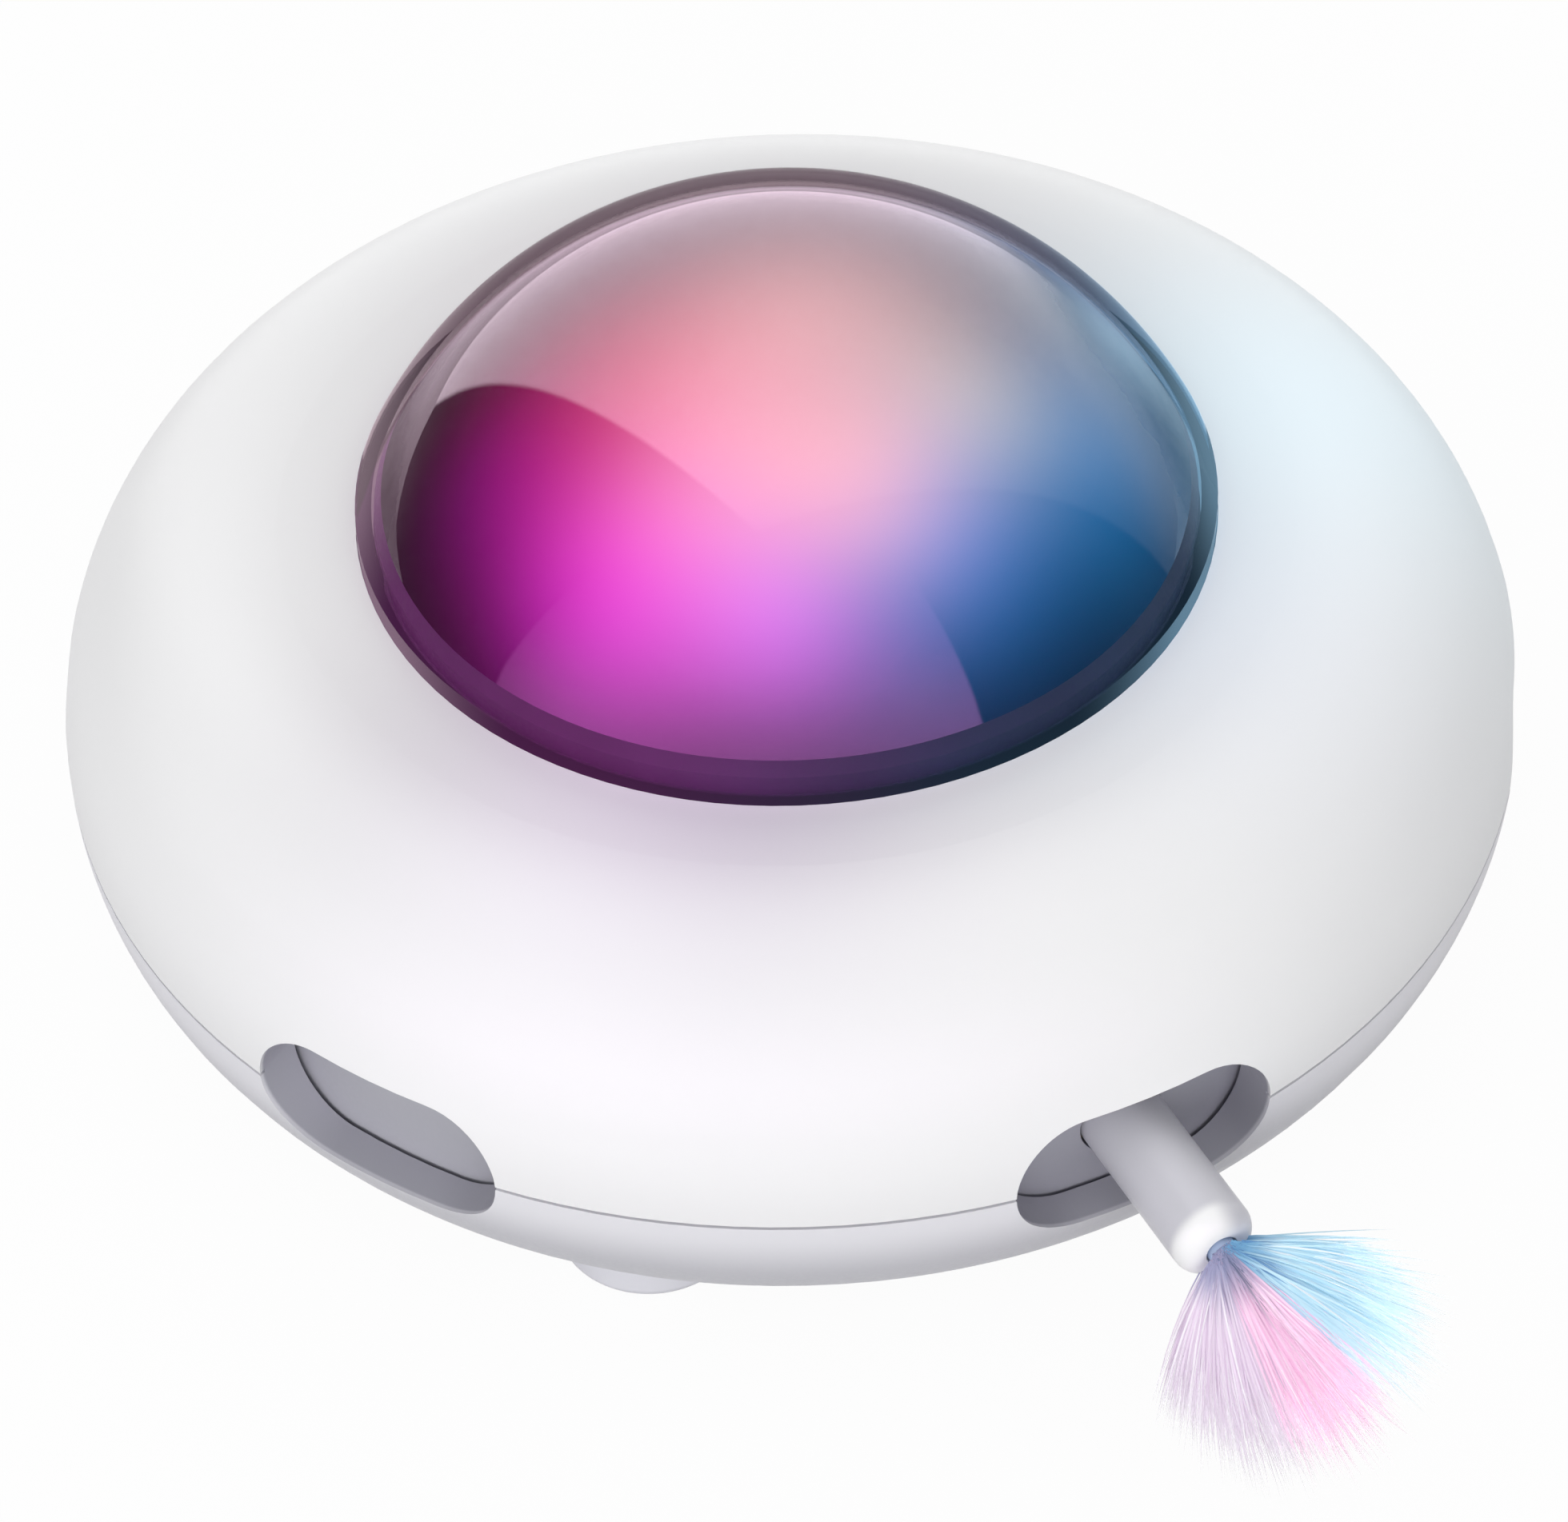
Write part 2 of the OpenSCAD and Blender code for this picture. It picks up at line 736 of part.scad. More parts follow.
// Fixed plate in the middle: the carousel's journal and both motors' holder
module chassis_plate() {
  hole_x = motor_w + 2 * slip_fit;
  hole_y = motor_d + 2 * slip_fit;
  color("slategray")
  along_wand()
  difference() {
    union() {
      translate([0, 0, chassis_z]) cylinder(h = flange_t, r = flange_r);
      translate([0, 0, chassis_z]) cylinder(h = disc_top - chassis_z, r = journal_r);
      translate([-turn_at - hole_x / 2 - socket_t, -hole_y / 2 - socket_t, disc_top - eps])
        cube([hole_x + 2 * socket_t, hole_y + 2 * socket_t, socket_top - disc_top]);
    }
    translate([-turn_at - hole_x / 2, -hole_y / 2, disc_top]) cube([hole_x, hole_y, 2 * over]);
    translate([-hole_x / 2, -hole_y / 2, chassis_z - over]) cube([hole_x, hole_y, 3 * over]);
    translate([-turn_at, 0, chassis_z - over])
      cylinder(h = 3 * over, d = shaft_boss_d + 2 * slip_fit);
    for (p = posts)
      translate([p[0], p[1], disc_top]) screw_hole(chassis_screw_l);
  }
}

module chassis_screws() {
  color("silver")
  along_wand()
    for (p = posts)
      translate([p[0], p[1], disc_top]) screw(chassis_screw_l);
}

// Upright motor on the axis that drives the wand's rack
module wand_motor() {
  color("goldenrod")
  along_wand()
    translate([0, 0, motor_base]) gear_motor(rack_z + rack_w - motor_base - motor_l);
}

// Upside-down motor that drives the ring gear
module turn_motor() {
  color("goldenrod")
  along_wand()
    translate([-turn_at, 0, disc_top + motor_l])
      rotate([180, 0, 0]) gear_motor(disc_top - ring_z);
}

// Board with its nose under the charging socket, its controller, charger and coil
module main_board() {
  chip_z = board_z + board_t - eps;
  color("darkgreen")
  rotate([0, 0, board_az])
  difference() {
    union() {
      translate([board_in, -board_l / 2, board_z]) cube([board_w, board_l, board_t]);
      translate([board_out - over, -nose_w / 2, board_z])
        cube([nose_end - board_out + over, nose_w, board_t]);
      translate([board_in + chip_w / 2, -chip_w / 2, chip_z]) cube([chip_w, chip_w, chip_h]);
      translate([board_in + 2 * chip_w, chip_w, chip_z]) cube([charger_w, charger_w, chip_h]);
      translate([board_in + 2 * chip_w, -1.5 * chip_w, chip_z])
        cylinder(h = 2 * chip_h, d = coil_d);
    }
    for (p = board_holes())
      translate([p[0], p[1], board_z + board_t]) screw_hole(board_screw_l);
  }
}

module board_screws() {
  color("silver")
  rotate([0, 0, board_az])
    for (p = board_holes())
      translate([p[0], p[1], board_z + board_t]) screw(board_screw_l);
}

// Charging socket: a rounded metal shell with a tongue inside
module usb_socket() {
  color("silver")
  rotate([0, 0, board_az])
  translate([usb_y, 0, usb_z])
  rotate([0, 90, 0]) {
    difference() {
      linear_extrude(usb_l) stadium(usb_h, usb_w);
      translate([0, 0, usb_l - usb_hollow])
        linear_extrude(usb_l) stadium(usb_h - 2 * usb_wall, usb_w - 2 * usb_wall);
    }
    translate([-usb_wall, -usb_w / 2 + usb_tongue_in, usb_l - usb_hollow - eps])
      cube([2 * usb_wall, usb_w - 2 * usb_tongue_in, usb_hollow - usb_tongue_set]);
  }
}

module battery() {
  color("silver")
  rotate([0, 0, battery_az])
    translate([battery_x - battery_w / 2, -battery_l / 2, floor_z])
      cube([battery_w, battery_l, battery_h]);
}

// Slide switch on the floor, hollow where the knob's stem runs
module switch_body() {
  color("dimgray")
  rotate([0, 0, switch_az]) translate([switch_at, 0, floor_z])
  difference() {
    translate([-switch_w / 2, -switch_l / 2, 0]) cube([switch_w, switch_l, switch_h]);
    translate([-stem_w / 2 - air, -(stem_w + switch_travel) / 2 - air, -over])
      cube([stem_w + 2 * air, stem_w + switch_travel + 2 * air, over + switch_h / 2]);
  }
}

// Knob under the base, at the off end of its travel
module switch_knob() {
  color("black")
  rotate([0, 0, switch_az]) translate([switch_at, -switch_travel / 2, base_z]) {
    translate([-knob_w / 2, -knob_l / 2, air]) cube([knob_w, knob_l, knob_h]);
    translate([-stem_w / 2, -stem_w / 2, air])
      cube([stem_w, stem_w, wall_t + switch_h / 2 - 3 * air]);
  }
}

// Rubber foot that follows the housing's underside, with a peg in its hole
module foot(turn) {
  color("lightgray")
  rotate([0, 0, turn]) {
    difference() {
      translate([foot_at, 0, 0])
        rotate_extrude() {
          square([foot_d / 2 - foot_round, 3 * foot_h]);
          translate([0, foot_round]) square([foot_d / 2, 3 * foot_h - foot_round]);
          translate([foot_d / 2 - foot_round, foot_round]) circle(foot_round);
        }
      rotate_extrude() lower_outline(0, seam_z);
    }
    translate([foot_at, 0, base_z - eps]) cylinder(h = peg_h, d = peg_d);
  }
}

module foot_front() { foot(foot_az); }
module foot_right() { foot(foot_az + 90); }
module foot_back() { foot(foot_az + 180); }
module foot_left() { foot(foot_az + 270); }

// Turning drum with its disc, bearing hole and the boss for the wand's bush
module carousel() {
  color("silver")
  along_wand()
  difference() {
    union() {
      hoop(journal_r + run_fit, drum_r - drum_t + eps, disc_z, disc_top);
      hoop(drum_r - drum_t, drum_r, drum_z, drum_top);
      intersection() {
        translate([bush_x, 0, wand_z]) rotate([0, 90, 0]) cylinder(h = 2 * over, r = boss_r);
        cylinder(h = body_r, r = drum_r);
      }
      translate([bush_x, -boss_r / 3, disc_top - eps])
        cube([drum_r - bush_x - drum_t, 2 * boss_r / 3, wand_z - boss_r + 1 - disc_top]);
    }
    translate([bush_x - over, 0, wand_z]) rotate([0, 90, 0])
      cylinder(h = bush_end - bush_x + over, r = bush_r + slip_fit / 2);
    translate([bush_x, 0, wand_z]) rotate([0, 90, 0]) cylinder(h = 4 * over, r = hole_r);
    for (p = guide_screws_at, side = [-1, 1])
      translate([p[0], side * p[1], disc_top + guide_t]) screw_hole(guide_screw_l);
  }
}

// Ring gear with inside teeth, fixed under the disc below the bearing flange
module ring_gear() {
  color("ivory")
  along_wand()
  union() {
    translate([0, 0, ring_z])
      linear_extrude(ring_w)
        difference() {
          circle(ring_out_r);
          rotate(180) gear_outline(turn_m, ring_teeth, 1.25 * turn_m, turn_m, -backlash);
        }
    hoop(ring_collar_r, ring_out_r, ring_z + ring_w - eps, disc_z);
  }
}

// Plain bush that the wand slides in
module wand_bush() {
  color("tan")
  along_wand()
  translate([0, 0, wand_z]) rotate([0, 90, 0]) {
    hoop(tube_d / 2 + run_fit, boss_r, bush_x - bush_flange_t, bush_x);
    hoop(tube_d / 2 + run_fit, bush_r, bush_x - eps, bush_end - slip_fit);
  }
}

// Base plate with two lipped rails for the carriage
module wand_guide() {
  color("whitesmoke")
  along_wand()
  difference() {
    union() {
      translate([guide_x, -guide_w / 2, disc_top]) cube([guide_l, guide_w, guide_t]);
      for (side = [0, 1])
        mirror([0, side, 0]) {
          translate([guide_x, rail_y, disc_top])
            cube([guide_l, rail_t, rail_z + rail_lip_h - disc_top]);
          translate([guide_x, rail_y - rail_lip, rail_z])
            cube([guide_l, rail_lip + eps, rail_lip_h]);
        }
    }
    for (p = guide_screws_at, side = [-1, 1])
      translate([p[0], side * p[1], disc_top + guide_t]) screw_hole(guide_screw_l);
  }
}

module guide_screws() {
  color("silver")
  along_wand()
    for (p = guide_screws_at, side = [-1, 1])
      translate([p[0], side * p[1], disc_top + guide_t]) screw(guide_screw_l);
}

// Pinion on the turn motor's shaft
module turn_pinion() {
  color("ivory")
  along_wand()
  translate([-turn_at, 0, ring_z])
    linear_extrude(ring_w)
      difference() {
        rotate(180) gear_outline(turn_m, turn_teeth, turn_m, 1.25 * turn_m, backlash);
        circle(shaft_d / 2 + run_fit / 2);
      }
}

// Pinion on the wand motor's shaft
module wand_pinion() {
  color("ivory")
  along_wand()
  translate([0, 0, rack_z])
    linear_extrude(rack_w)
      difference() {
        rotate(90) gear_outline(rack_m, wand_teeth, rack_m, 1.25 * rack_m, backlash);
        circle(shaft_d / 2 + run_fit / 2);
      }
}

// Wand tube with a rounded end and a hole for the ferrule
module wand_tube() {
  end_t = 8;
  color("lavender")
  along_wand()
  translate([0, 0, wand_z]) rotate([0, 90, 0])
  rotate_extrude()
    difference() {
      union() {
        translate([0, tube_x]) square([tube_d / 2, tube_l - tip_r]);
        translate([0, tube_x]) square([tube_d / 2 - tip_r, tube_l]);
        translate([tube_d / 2 - tip_r, tip_x - tip_r]) circle(tip_r);
      }
      translate([-over, tube_x - over]) square([over + tube_bore / 2, tube_l - end_t + over]);
      translate([-over, tube_x]) square([over + ferrule_d / 2 + slip_fit / 2, tube_l + over]);
    }
}

// Carriage that grips the tube's tail and carries the rack
module wand_carriage() {
  groove_w = rail_lip_h + 2 * air;
  color("steelblue")
  along_wand()
  difference() {
    translate([carriage_x, -carriage_w / 2, carriage_z])
      cube([carriage_l, carriage_w, rack_z - carriage_z]);
    translate([tube_x, 0, wand_z]) rotate([0, 90, 0])
      cylinder(h = carriage_x + carriage_l - tube_x + over, r = tube_d / 2 + slip_fit / 2);
    for (side = [0, 1])
      mirror([0, side, 0])
        translate([carriage_x - over, rail_y - rail_lip - air, rail_z - air])
          cube([carriage_l + 2 * over, rail_lip + 2 * over, groove_w]);
    for (x = rack_screw_x())
      translate([x, rack_screw_y, rack_z + rack_w]) screw_hole(rack_screw_l);
  }
}

// Screw places along the rack
function rack_screw_x() = [carriage_x + rack_screw_in, carriage_x + carriage_l - rack_screw_in];

// Straight rack on the carriage that runs past the axis over both motors
module wand_rack() {
  lean = tan(pressure);
  back_y = rack_pitch_r + 1.2 * rack_m;
  half = rack_pitch / 4 - backlash / 2;
  first = ceil((rack_from + rack_lead) / rack_pitch);
  color("steelblue")
  along_wand()
  difference() {
    translate([0, 0, rack_z])
      linear_extrude(rack_w) {
        translate([rack_from, back_y])
          square([carriage_x + carriage_l - rack_from, rack_back]);
        for (k = [0 : rack_teeth - 1])
          translate([(first + k + 0.5) * rack_pitch, rack_pitch_r])
            polygon([[-half + 0.9 * rack_m * lean, -0.9 * rack_m],
                     [half - 0.9 * rack_m * lean, -0.9 * rack_m],
                     [half + 1.3 * rack_m * lean, 1.3 * rack_m],
                     [-half - 1.3 * rack_m * lean, 1.3 * rack_m]]);
      }
    for (x = rack_screw_x())
      translate([x, rack_screw_y, rack_z + rack_w]) screw_hole(rack_screw_l);
  }
}

module rack_screws() {
  color("silver")
  along_wand()
    for (x = rack_screw_x())
      translate([x, rack_screw_y, rack_z + rack_w]) screw(rack_screw_l);
}

// Plug in the wand's end that binds the three quills
module feather_ferrule() {
  color("indigo")
  along_wand()
  translate([0, 0, wand_z]) {
    translate([ferrule_x - ferrule_l, 0, 0]) rotate([0, 90, 0])
      cylinder(h = ferrule_l, d = ferrule_d);
    translate([ferrule_x - eps, 0, 0]) rotate([0, 90, 0])
      cylinder(h = fan_x - ferrule_x + eps, r = nose_r);
    translate([fan_x, 0, 0]) sphere(nose_r);
  }
}

// Outline of a plume: a fan of pointed wisps from its root
module plume_outline(length) {
  wisp_a = plume_half / wisp_n;
  polygon(concat(
    [fan_from * [cos(plume_half), sin(plume_half)]],
    [for (i = [0 : 2 * wisp_n])
      let (a = plume_half - i * wisp_a,
           bulge = 1 - 0.12 * pow(a / plume_half, 2),
           reach = length * bulge * (i % 2 == 0 ? 1 - wisp_cut : 1))
      reach * [cos(a), sin(a)]],
    [fan_from * [cos(plume_half), -sin(plume_half)]]));
}

// Soft plume with its quill, turned by turn within the fan
module plume(length, turn) {
  along_wand()
  translate([fan_x, 0, wand_z])
  rotate([0, fan_lean, fan_turn])
  rotate([0, 0, turn]) {
    translate([0, 0, -plume_t / 2]) linear_extrude(plume_t) plume_outline(length);
    translate([quill_from, 0, 0]) rotate([0, 90, 0])
      cylinder(h = length / 2, d = quill_d);
  }
}

module plume_blue() { color("skyblue") plume(blue_l, 2 * fan_step); }
module plume_pink() { color("pink") plume(pink_l, fan_step); }
module plume_lilac() { color("plum") plume(lilac_l, 0); }

top_shell();
bottom_shell();
dome_cover();
dome_diffuser();
dome_ring();
light_deck();
lamp_board();
lamps();
deck_screws();
chassis_plate();
chassis_screws();
wand_motor();
turn_motor();
main_board();
board_screws();
usb_socket();
battery();
switch_body();
switch_knob();
foot_front();
foot_right();
foot_back();
foot_left();
carousel();
ring_gear();
wand_bush();
wand_guide();
guide_screws();
turn_pinion();
wand_pinion();
wand_tube();
wand_carriage();
wand_rack();
rack_screws();
feather_ferrule();
plume_blue();
plume_pink();
plume_lilac();
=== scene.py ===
"""Looks of the automatic cat feather toy: moulded housing, lit dome, wand and feather tuft."""
import json
import math

import bpy
import numpy as np
from mathutils import Matrix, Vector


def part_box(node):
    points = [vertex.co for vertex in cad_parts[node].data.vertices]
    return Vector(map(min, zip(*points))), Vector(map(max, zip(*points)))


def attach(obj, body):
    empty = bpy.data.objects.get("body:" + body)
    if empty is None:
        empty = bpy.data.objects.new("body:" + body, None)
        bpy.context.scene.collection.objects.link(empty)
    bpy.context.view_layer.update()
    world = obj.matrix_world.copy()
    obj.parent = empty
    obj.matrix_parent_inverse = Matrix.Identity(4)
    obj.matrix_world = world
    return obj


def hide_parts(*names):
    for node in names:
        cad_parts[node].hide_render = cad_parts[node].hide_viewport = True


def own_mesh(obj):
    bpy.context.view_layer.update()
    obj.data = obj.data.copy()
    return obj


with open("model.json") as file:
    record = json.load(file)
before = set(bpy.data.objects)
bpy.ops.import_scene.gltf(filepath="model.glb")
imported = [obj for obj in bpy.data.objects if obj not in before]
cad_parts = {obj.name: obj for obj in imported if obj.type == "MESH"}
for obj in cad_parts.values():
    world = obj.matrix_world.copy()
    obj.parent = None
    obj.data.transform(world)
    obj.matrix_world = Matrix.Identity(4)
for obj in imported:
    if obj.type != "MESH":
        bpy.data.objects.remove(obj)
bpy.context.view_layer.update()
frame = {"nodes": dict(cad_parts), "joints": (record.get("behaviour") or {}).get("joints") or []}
nodes = frame["nodes"]
joints = {joint["name"]: joint for joint in frame["joints"]}

UP = np.array([0.0, 0.0, 1.0])
BLACK = (0.0, 0.0, 0.0)
WHITE = (1.0, 1.0, 1.0)


def node_points(name):
    """Corner points of a CAD node at rest, as an array with one row per point."""
    mesh = nodes[name].data
    points = np.empty(len(mesh.vertices) * 3, np.float32)
    mesh.vertices.foreach_get("co", points)
    return points.reshape(-1, 3).astype(float)


# Camera of the photograph, in metres, with the lens for a 36 mm sensor
CAMERA_AT = np.array([0.034749, -0.505812, 0.511645])
CAMERA_AIM = np.array([-0.001247, -0.000086, 0.013330])
CAMERA_ROLL = math.radians(-1.76)
CAMERA_LENS = 129.11
CAMERA_SENSOR = 36.0
CAMERA_NEAR = 0.01

# Studio seen from the toy. Each panel is edged by planes through the toy, given by their normals. The two
# mirror panels show only in gloss and glass, and the others light only matt surfaces
PANEL_EDGES = {
    "mirror_back": [(0.686, 0.651, 0.326), (-0.372, 0.880, 0.296)],
    "mirror_front": [(0.263, -0.951, -0.164), (-0.626, -0.779, 0.017), (0.0, 0.0, 1.0)],
    "back": [(0.0, -0.34, 0.94), (0.0, 0.77, -0.64), (0.64, 0.77, 0.0), (-0.64, 0.77, 0.0)],
    "front": [(0.0, 0.06, 0.998), (0.0, -0.5, -0.866), (0.64, -0.77, 0.0), (-0.64, -0.77, 0.0)],
    "left": [(-1.0, 0.0, 0.0), (0.0, 0.0, 1.0), (-0.866, -0.5, 0.0), (-0.866, 0.5, 0.0),
             (-0.64, 0.0, -0.77)],
    "sky": [(0.0, 0.0, 1.0)],
}
PANEL_SOFTNESS = 0.012
MATT_LIGHT = {"back": 1.00, "front": 3.18, "left": 0.50, "sky": 0.55}
MIRROR_LIGHT = {"mirror_back": (2.05, 2.05, 2.05), "mirror_front": (1.5, 0.62, 1.6)}
MIRROR_FILL = 0.03

# Way in which a mirror panel fades in, and where along it the fade starts and ends
PANEL_FADES = {
    "mirror_back": ((-0.372, 0.880, 0.296), -0.17, 0.79),
    "mirror_front": ((0.0, -0.848, -0.530), -0.10, 0.50),
}

# Floor just under the feet: the share of plain white that shows in it, its colour, and what it throws back
FLOOR_SIDE = 0.5
FLOOR_DROP = 0.0001
FLOOR_WHITE = 0.95
FLOOR_SEEN = (0.94, 0.94, 0.95)
FLOOR_BOUNCE = (0.07, 0.07, 0.08)

# Housing's rim: its radius, the radius of its rounding in profile, and the height of its seam
RIM_R = float(np.hypot(*node_points("top_shell")[:, :2].T).max())
RIM_ROUND = 0.028
wand_low, wand_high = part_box("wand_tube")
SEAM_Z = float(0.5 * (wand_low[2] + wand_high[2]))

# Painted shade of the housing, set in its colour: the grey painted on the openings' walls, the depths
# behind the rim between which it sets in, the rises from the seam between which it ends, and the drops
# under the seam between which the underside is painted darker
PAINTED_RECESS_SHADE = (0.43, 0.43, 0.48)
RECESS_DEPTH = (0.0002, 0.0008)
RECESS_RISE = (0.0095, 0.0105)
UNDER_DROP = (0.012, 0.002)
UNDER_SHARE = 0.57

# Wand, the ball at the ferrule's end, and the plane of the feather's fan
WAND_WAY = np.array(joints["wand_slide"]["axis"], float)
WAND_SIDE = np.cross(UP, WAND_WAY)
WAND_TIP_AT = float((node_points("wand_tube") @ WAND_WAY).max())
NOSE_R = 0.00175
FAN_LEAN = math.radians(46.4)
FAN_TURN = math.radians(-26.2)
FAN_MIDDLE = math.radians(35.0)


# Building blocks for materials


def add(tree, kind, feeds=None, **settings):
    """New node with its settings; feeds gives each input a value or another node's output."""
    node = tree.nodes.new(kind)
    for key, value in settings.items():
        setattr(node, key, value)
    for key, value in (feeds or {}).items():
        if isinstance(value, bpy.types.NodeSocket):
            tree.links.new(value, node.inputs[key])
        else:
            node.inputs[key].default_value = value
    return node


def math_node(tree, operation, *values):
    """Result of one Math node."""
    return add(tree, "ShaderNodeMath", dict(enumerate(values)), operation=operation).outputs[0]


def vector_node(tree, operation, *values):
    """Outputs of one Vector Math node."""
    return add(tree, "ShaderNodeVectorMath", dict(enumerate(values)), operation=operation).outputs


def scaled(tree, colour, share):
    """Colour times a number."""
    node = add(tree, "ShaderNodeVectorMath", {0: colour, "Scale": share}, operation="SCALE")
    return node.outputs["Vector"]


def added(tree, first, second):
    """Sum of two colours."""
    return vector_node(tree, "ADD", first, second)["Vector"]


def mix_colours(tree, factor, first, second):
    """Colour between first and second by factor."""
    mix = add(tree, "ShaderNodeMix", {0: factor, 6: first, 7: second}, data_type="RGBA")
    return mix.outputs[2]


def ramp(tree, value, low, high, to_low=0.0, to_high=1.0):
    """Smooth rise from to_low to to_high while value goes from low to high."""
    feeds = {"Value": value, "From Min": low, "From Max": high, "To Min": to_low, "To Max": to_high}
    return add(tree, "ShaderNodeMapRange", feeds, interpolation_type="SMOOTHSTEP").outputs["Result"]


def noise(tree, place, scale, detail=2.0):
    """Noise value at a place."""
    feeds = {"Vector": place, "Scale": scale, "Detail": detail, "Roughness": 0.5}
    return add(tree, "ShaderNodeTexNoise", feeds).outputs["Fac"]


def object_place(tree):
    """Place on the piece in metres."""
    return add(tree, "ShaderNodeTexCoord").outputs["Object"]


def coordinate(tree, place, axis):
    """Coordinate of a place on the axis X, Y or Z."""
    return add(tree, "ShaderNodeSeparateXYZ", {"Vector": place}).outputs[axis]


def edge_on(tree):
    """Zero where the surface faces the eye, rising to one where it is seen edge on."""
    return add(tree, "ShaderNodeLayerWeight", {"Blend": 0.5}).outputs["Facing"]


def rgba(colour):
    """Colour with full opacity."""
    return (*colour, 1.0)


def grey(level):
    """Grey with full opacity."""
    return (level, level, level, 1.0)


def group_frame(name, inputs, outputs):
    """Empty node group with inputs (label, kind, value) and outputs (label, kind)."""
    group = bpy.data.node_groups.new(name, "ShaderNodeTree")
    for label, kind, value in inputs:
        socket = group.interface.new_socket(label, in_out="INPUT", socket_type="NodeSocket" + kind)
        socket.default_value = value
    for label, kind in outputs:
        group.interface.new_socket(label, in_out="OUTPUT", socket_type="NodeSocket" + kind)
    entry = group.nodes.new("NodeGroupInput").outputs
    leave = group.nodes.new("NodeGroupOutput").inputs
    return group, entry, leave


# Effects that several materials share

# Values between which most of a noise lies, and the detail of coarse noise
NOISE_SPAN = (0.3, 0.7)
NOISE_DETAIL = 3.0

# Usual scale and depth of moulded plastic's grain
GRAIN_SCALE = 1600.0
GRAIN_DEPTH = 0.000004

# Streaks of drawn metal: their stretch along Z, their roughness and their depth
STREAK_STRETCH = (1.0, 1.0, 0.06)
STREAK_ROUGHNESS = (0.22, 0.42)
STREAK_DEPTH = 0.00001


def moulded_grain():
    """Group: slow drift between two colours, with a fine grain for roughness and bump height."""
    group, entry, leave = group_frame(
        "moulded_grain",
        [("Colour", "Color", grey(0.8)), ("Drift", "Color", grey(0.75)), ("Patch", "Float", 25.0),
         ("Grain", "Float", GRAIN_SCALE), ("Smooth", "Float", 0.3), ("Rough", "Float", 0.4)],
        [("Colour", "Color"), ("Roughness", "Float"), ("Height", "Float")])
    place = object_place(group)
    patch = noise(group, place, entry["Patch"], NOISE_DETAIL)
    fine = noise(group, place, entry["Grain"])
    group.links.new(mix_colours(group, patch, entry["Colour"], entry["Drift"]), leave["Colour"])
    group.links.new(ramp(group, fine, *NOISE_SPAN, entry["Smooth"], entry["Rough"]), leave["Roughness"])
    group.links.new(fine, leave["Height"])
    return group


def metal_streaks():
    """Group: drawn-metal streaks along one axis, as colour, roughness and height."""
    group, entry, leave = group_frame(
        "metal_streaks",
        [("Colour", "Color", grey(0.6)), ("Drift", "Color", grey(0.5)), ("Fineness", "Float", 900.0)],
        [("Colour", "Color"), ("Roughness", "Float"), ("Height", "Float")])
    stretch = add(group, "ShaderNodeMapping", {"Vector": object_place(group), "Scale": STREAK_STRETCH})
    streak = noise(group, stretch.outputs["Vector"], entry["Fineness"], NOISE_DETAIL)
    group.links.new(mix_colours(group, streak, entry["Colour"], entry["Drift"]), leave["Colour"])
    group.links.new(ramp(group, streak, *NOISE_SPAN, *STREAK_ROUGHNESS), leave["Roughness"])
    group.links.new(streak, leave["Height"])
    return group


def glow_spot():
    """Group: adds a coloured glow that falls off as exp(-(distance / reach) squared)."""
    group, entry, leave = group_frame(
        "glow_spot",
        [("Under", "Color", rgba(BLACK)), ("Colour", "Color", rgba(WHITE)),
         ("Place", "Vector", (0.0, 0.0, 0.0)), ("Reach", "Float", 0.02)],
        [("Colour", "Color")])
    apart = vector_node(group, "DISTANCE", object_place(group), entry["Place"])["Value"]
    share = math_node(group, "DIVIDE", apart, entry["Reach"])
    fall = math_node(group, "MULTIPLY", math_node(group, "POWER", share, 2.0), -1.0)
    glow = scaled(group, entry["Colour"], math_node(group, "EXPONENT", fall))
    group.links.new(added(group, entry["Under"], glow), leave["Colour"])
    return group


def recess_shade():
    """Group: painted shade that turns a colour to the shaded one inside the openings, and part of the way
    under the housing.

    Inside is told by the depth behind the rounded rim, whose radius falls with the square of the height
    over or under the seam.
    """
    group, entry, leave = group_frame(
        "recess_shade",
        [("Colour", "Color", grey(0.8)), ("Shaded", "Color", grey(0.3))],
        [("Colour", "Color")])
    place = object_place(group)
    flat = vector_node(group, "MULTIPLY", place, (1.0, 1.0, 0.0))["Vector"]
    radius = vector_node(group, "LENGTH", flat)["Value"]
    height = coordinate(group, place, "Z")
    rise = math_node(group, "ABSOLUTE", math_node(group, "SUBTRACT", height, SEAM_Z))
    drop = math_node(group, "DIVIDE", math_node(group, "POWER", rise, 2.0), 2.0 * RIM_ROUND)
    depth = math_node(group, "SUBTRACT", math_node(group, "SUBTRACT", RIM_R, drop), radius)
    near = ramp(group, rise, *RECESS_RISE, 1.0, 0.0)
    inside = math_node(group, "MULTIPLY", ramp(group, depth, *RECESS_DEPTH), near)
    under = ramp(group, height, SEAM_Z - UNDER_DROP[0], SEAM_Z - UNDER_DROP[1], UNDER_SHARE, 0.0)
    # painted shade: darker in the openings' depth and towards the housing's underside
    shade = math_node(group, "MAXIMUM", inside, under)
    group.links.new(mix_colours(group, shade, entry["Colour"], entry["Shaded"]), leave["Colour"])
    return group


def left_to_right():
    """Group: smooth change between two colours across the toy."""
    group, entry, leave = group_frame(
        "left_to_right",
        [("Left", "Color", grey(0.5)), ("Right", "Color", grey(0.5)), ("From", "Float", -0.04),
         ("To", "Float", 0.04)],
        [("Colour", "Color")])
    share = ramp(group, coordinate(group, object_place(group), "X"), entry["From"], entry["To"])
    group.links.new(mix_colours(group, share, entry["Left"], entry["Right"]), leave["Colour"])
    return group


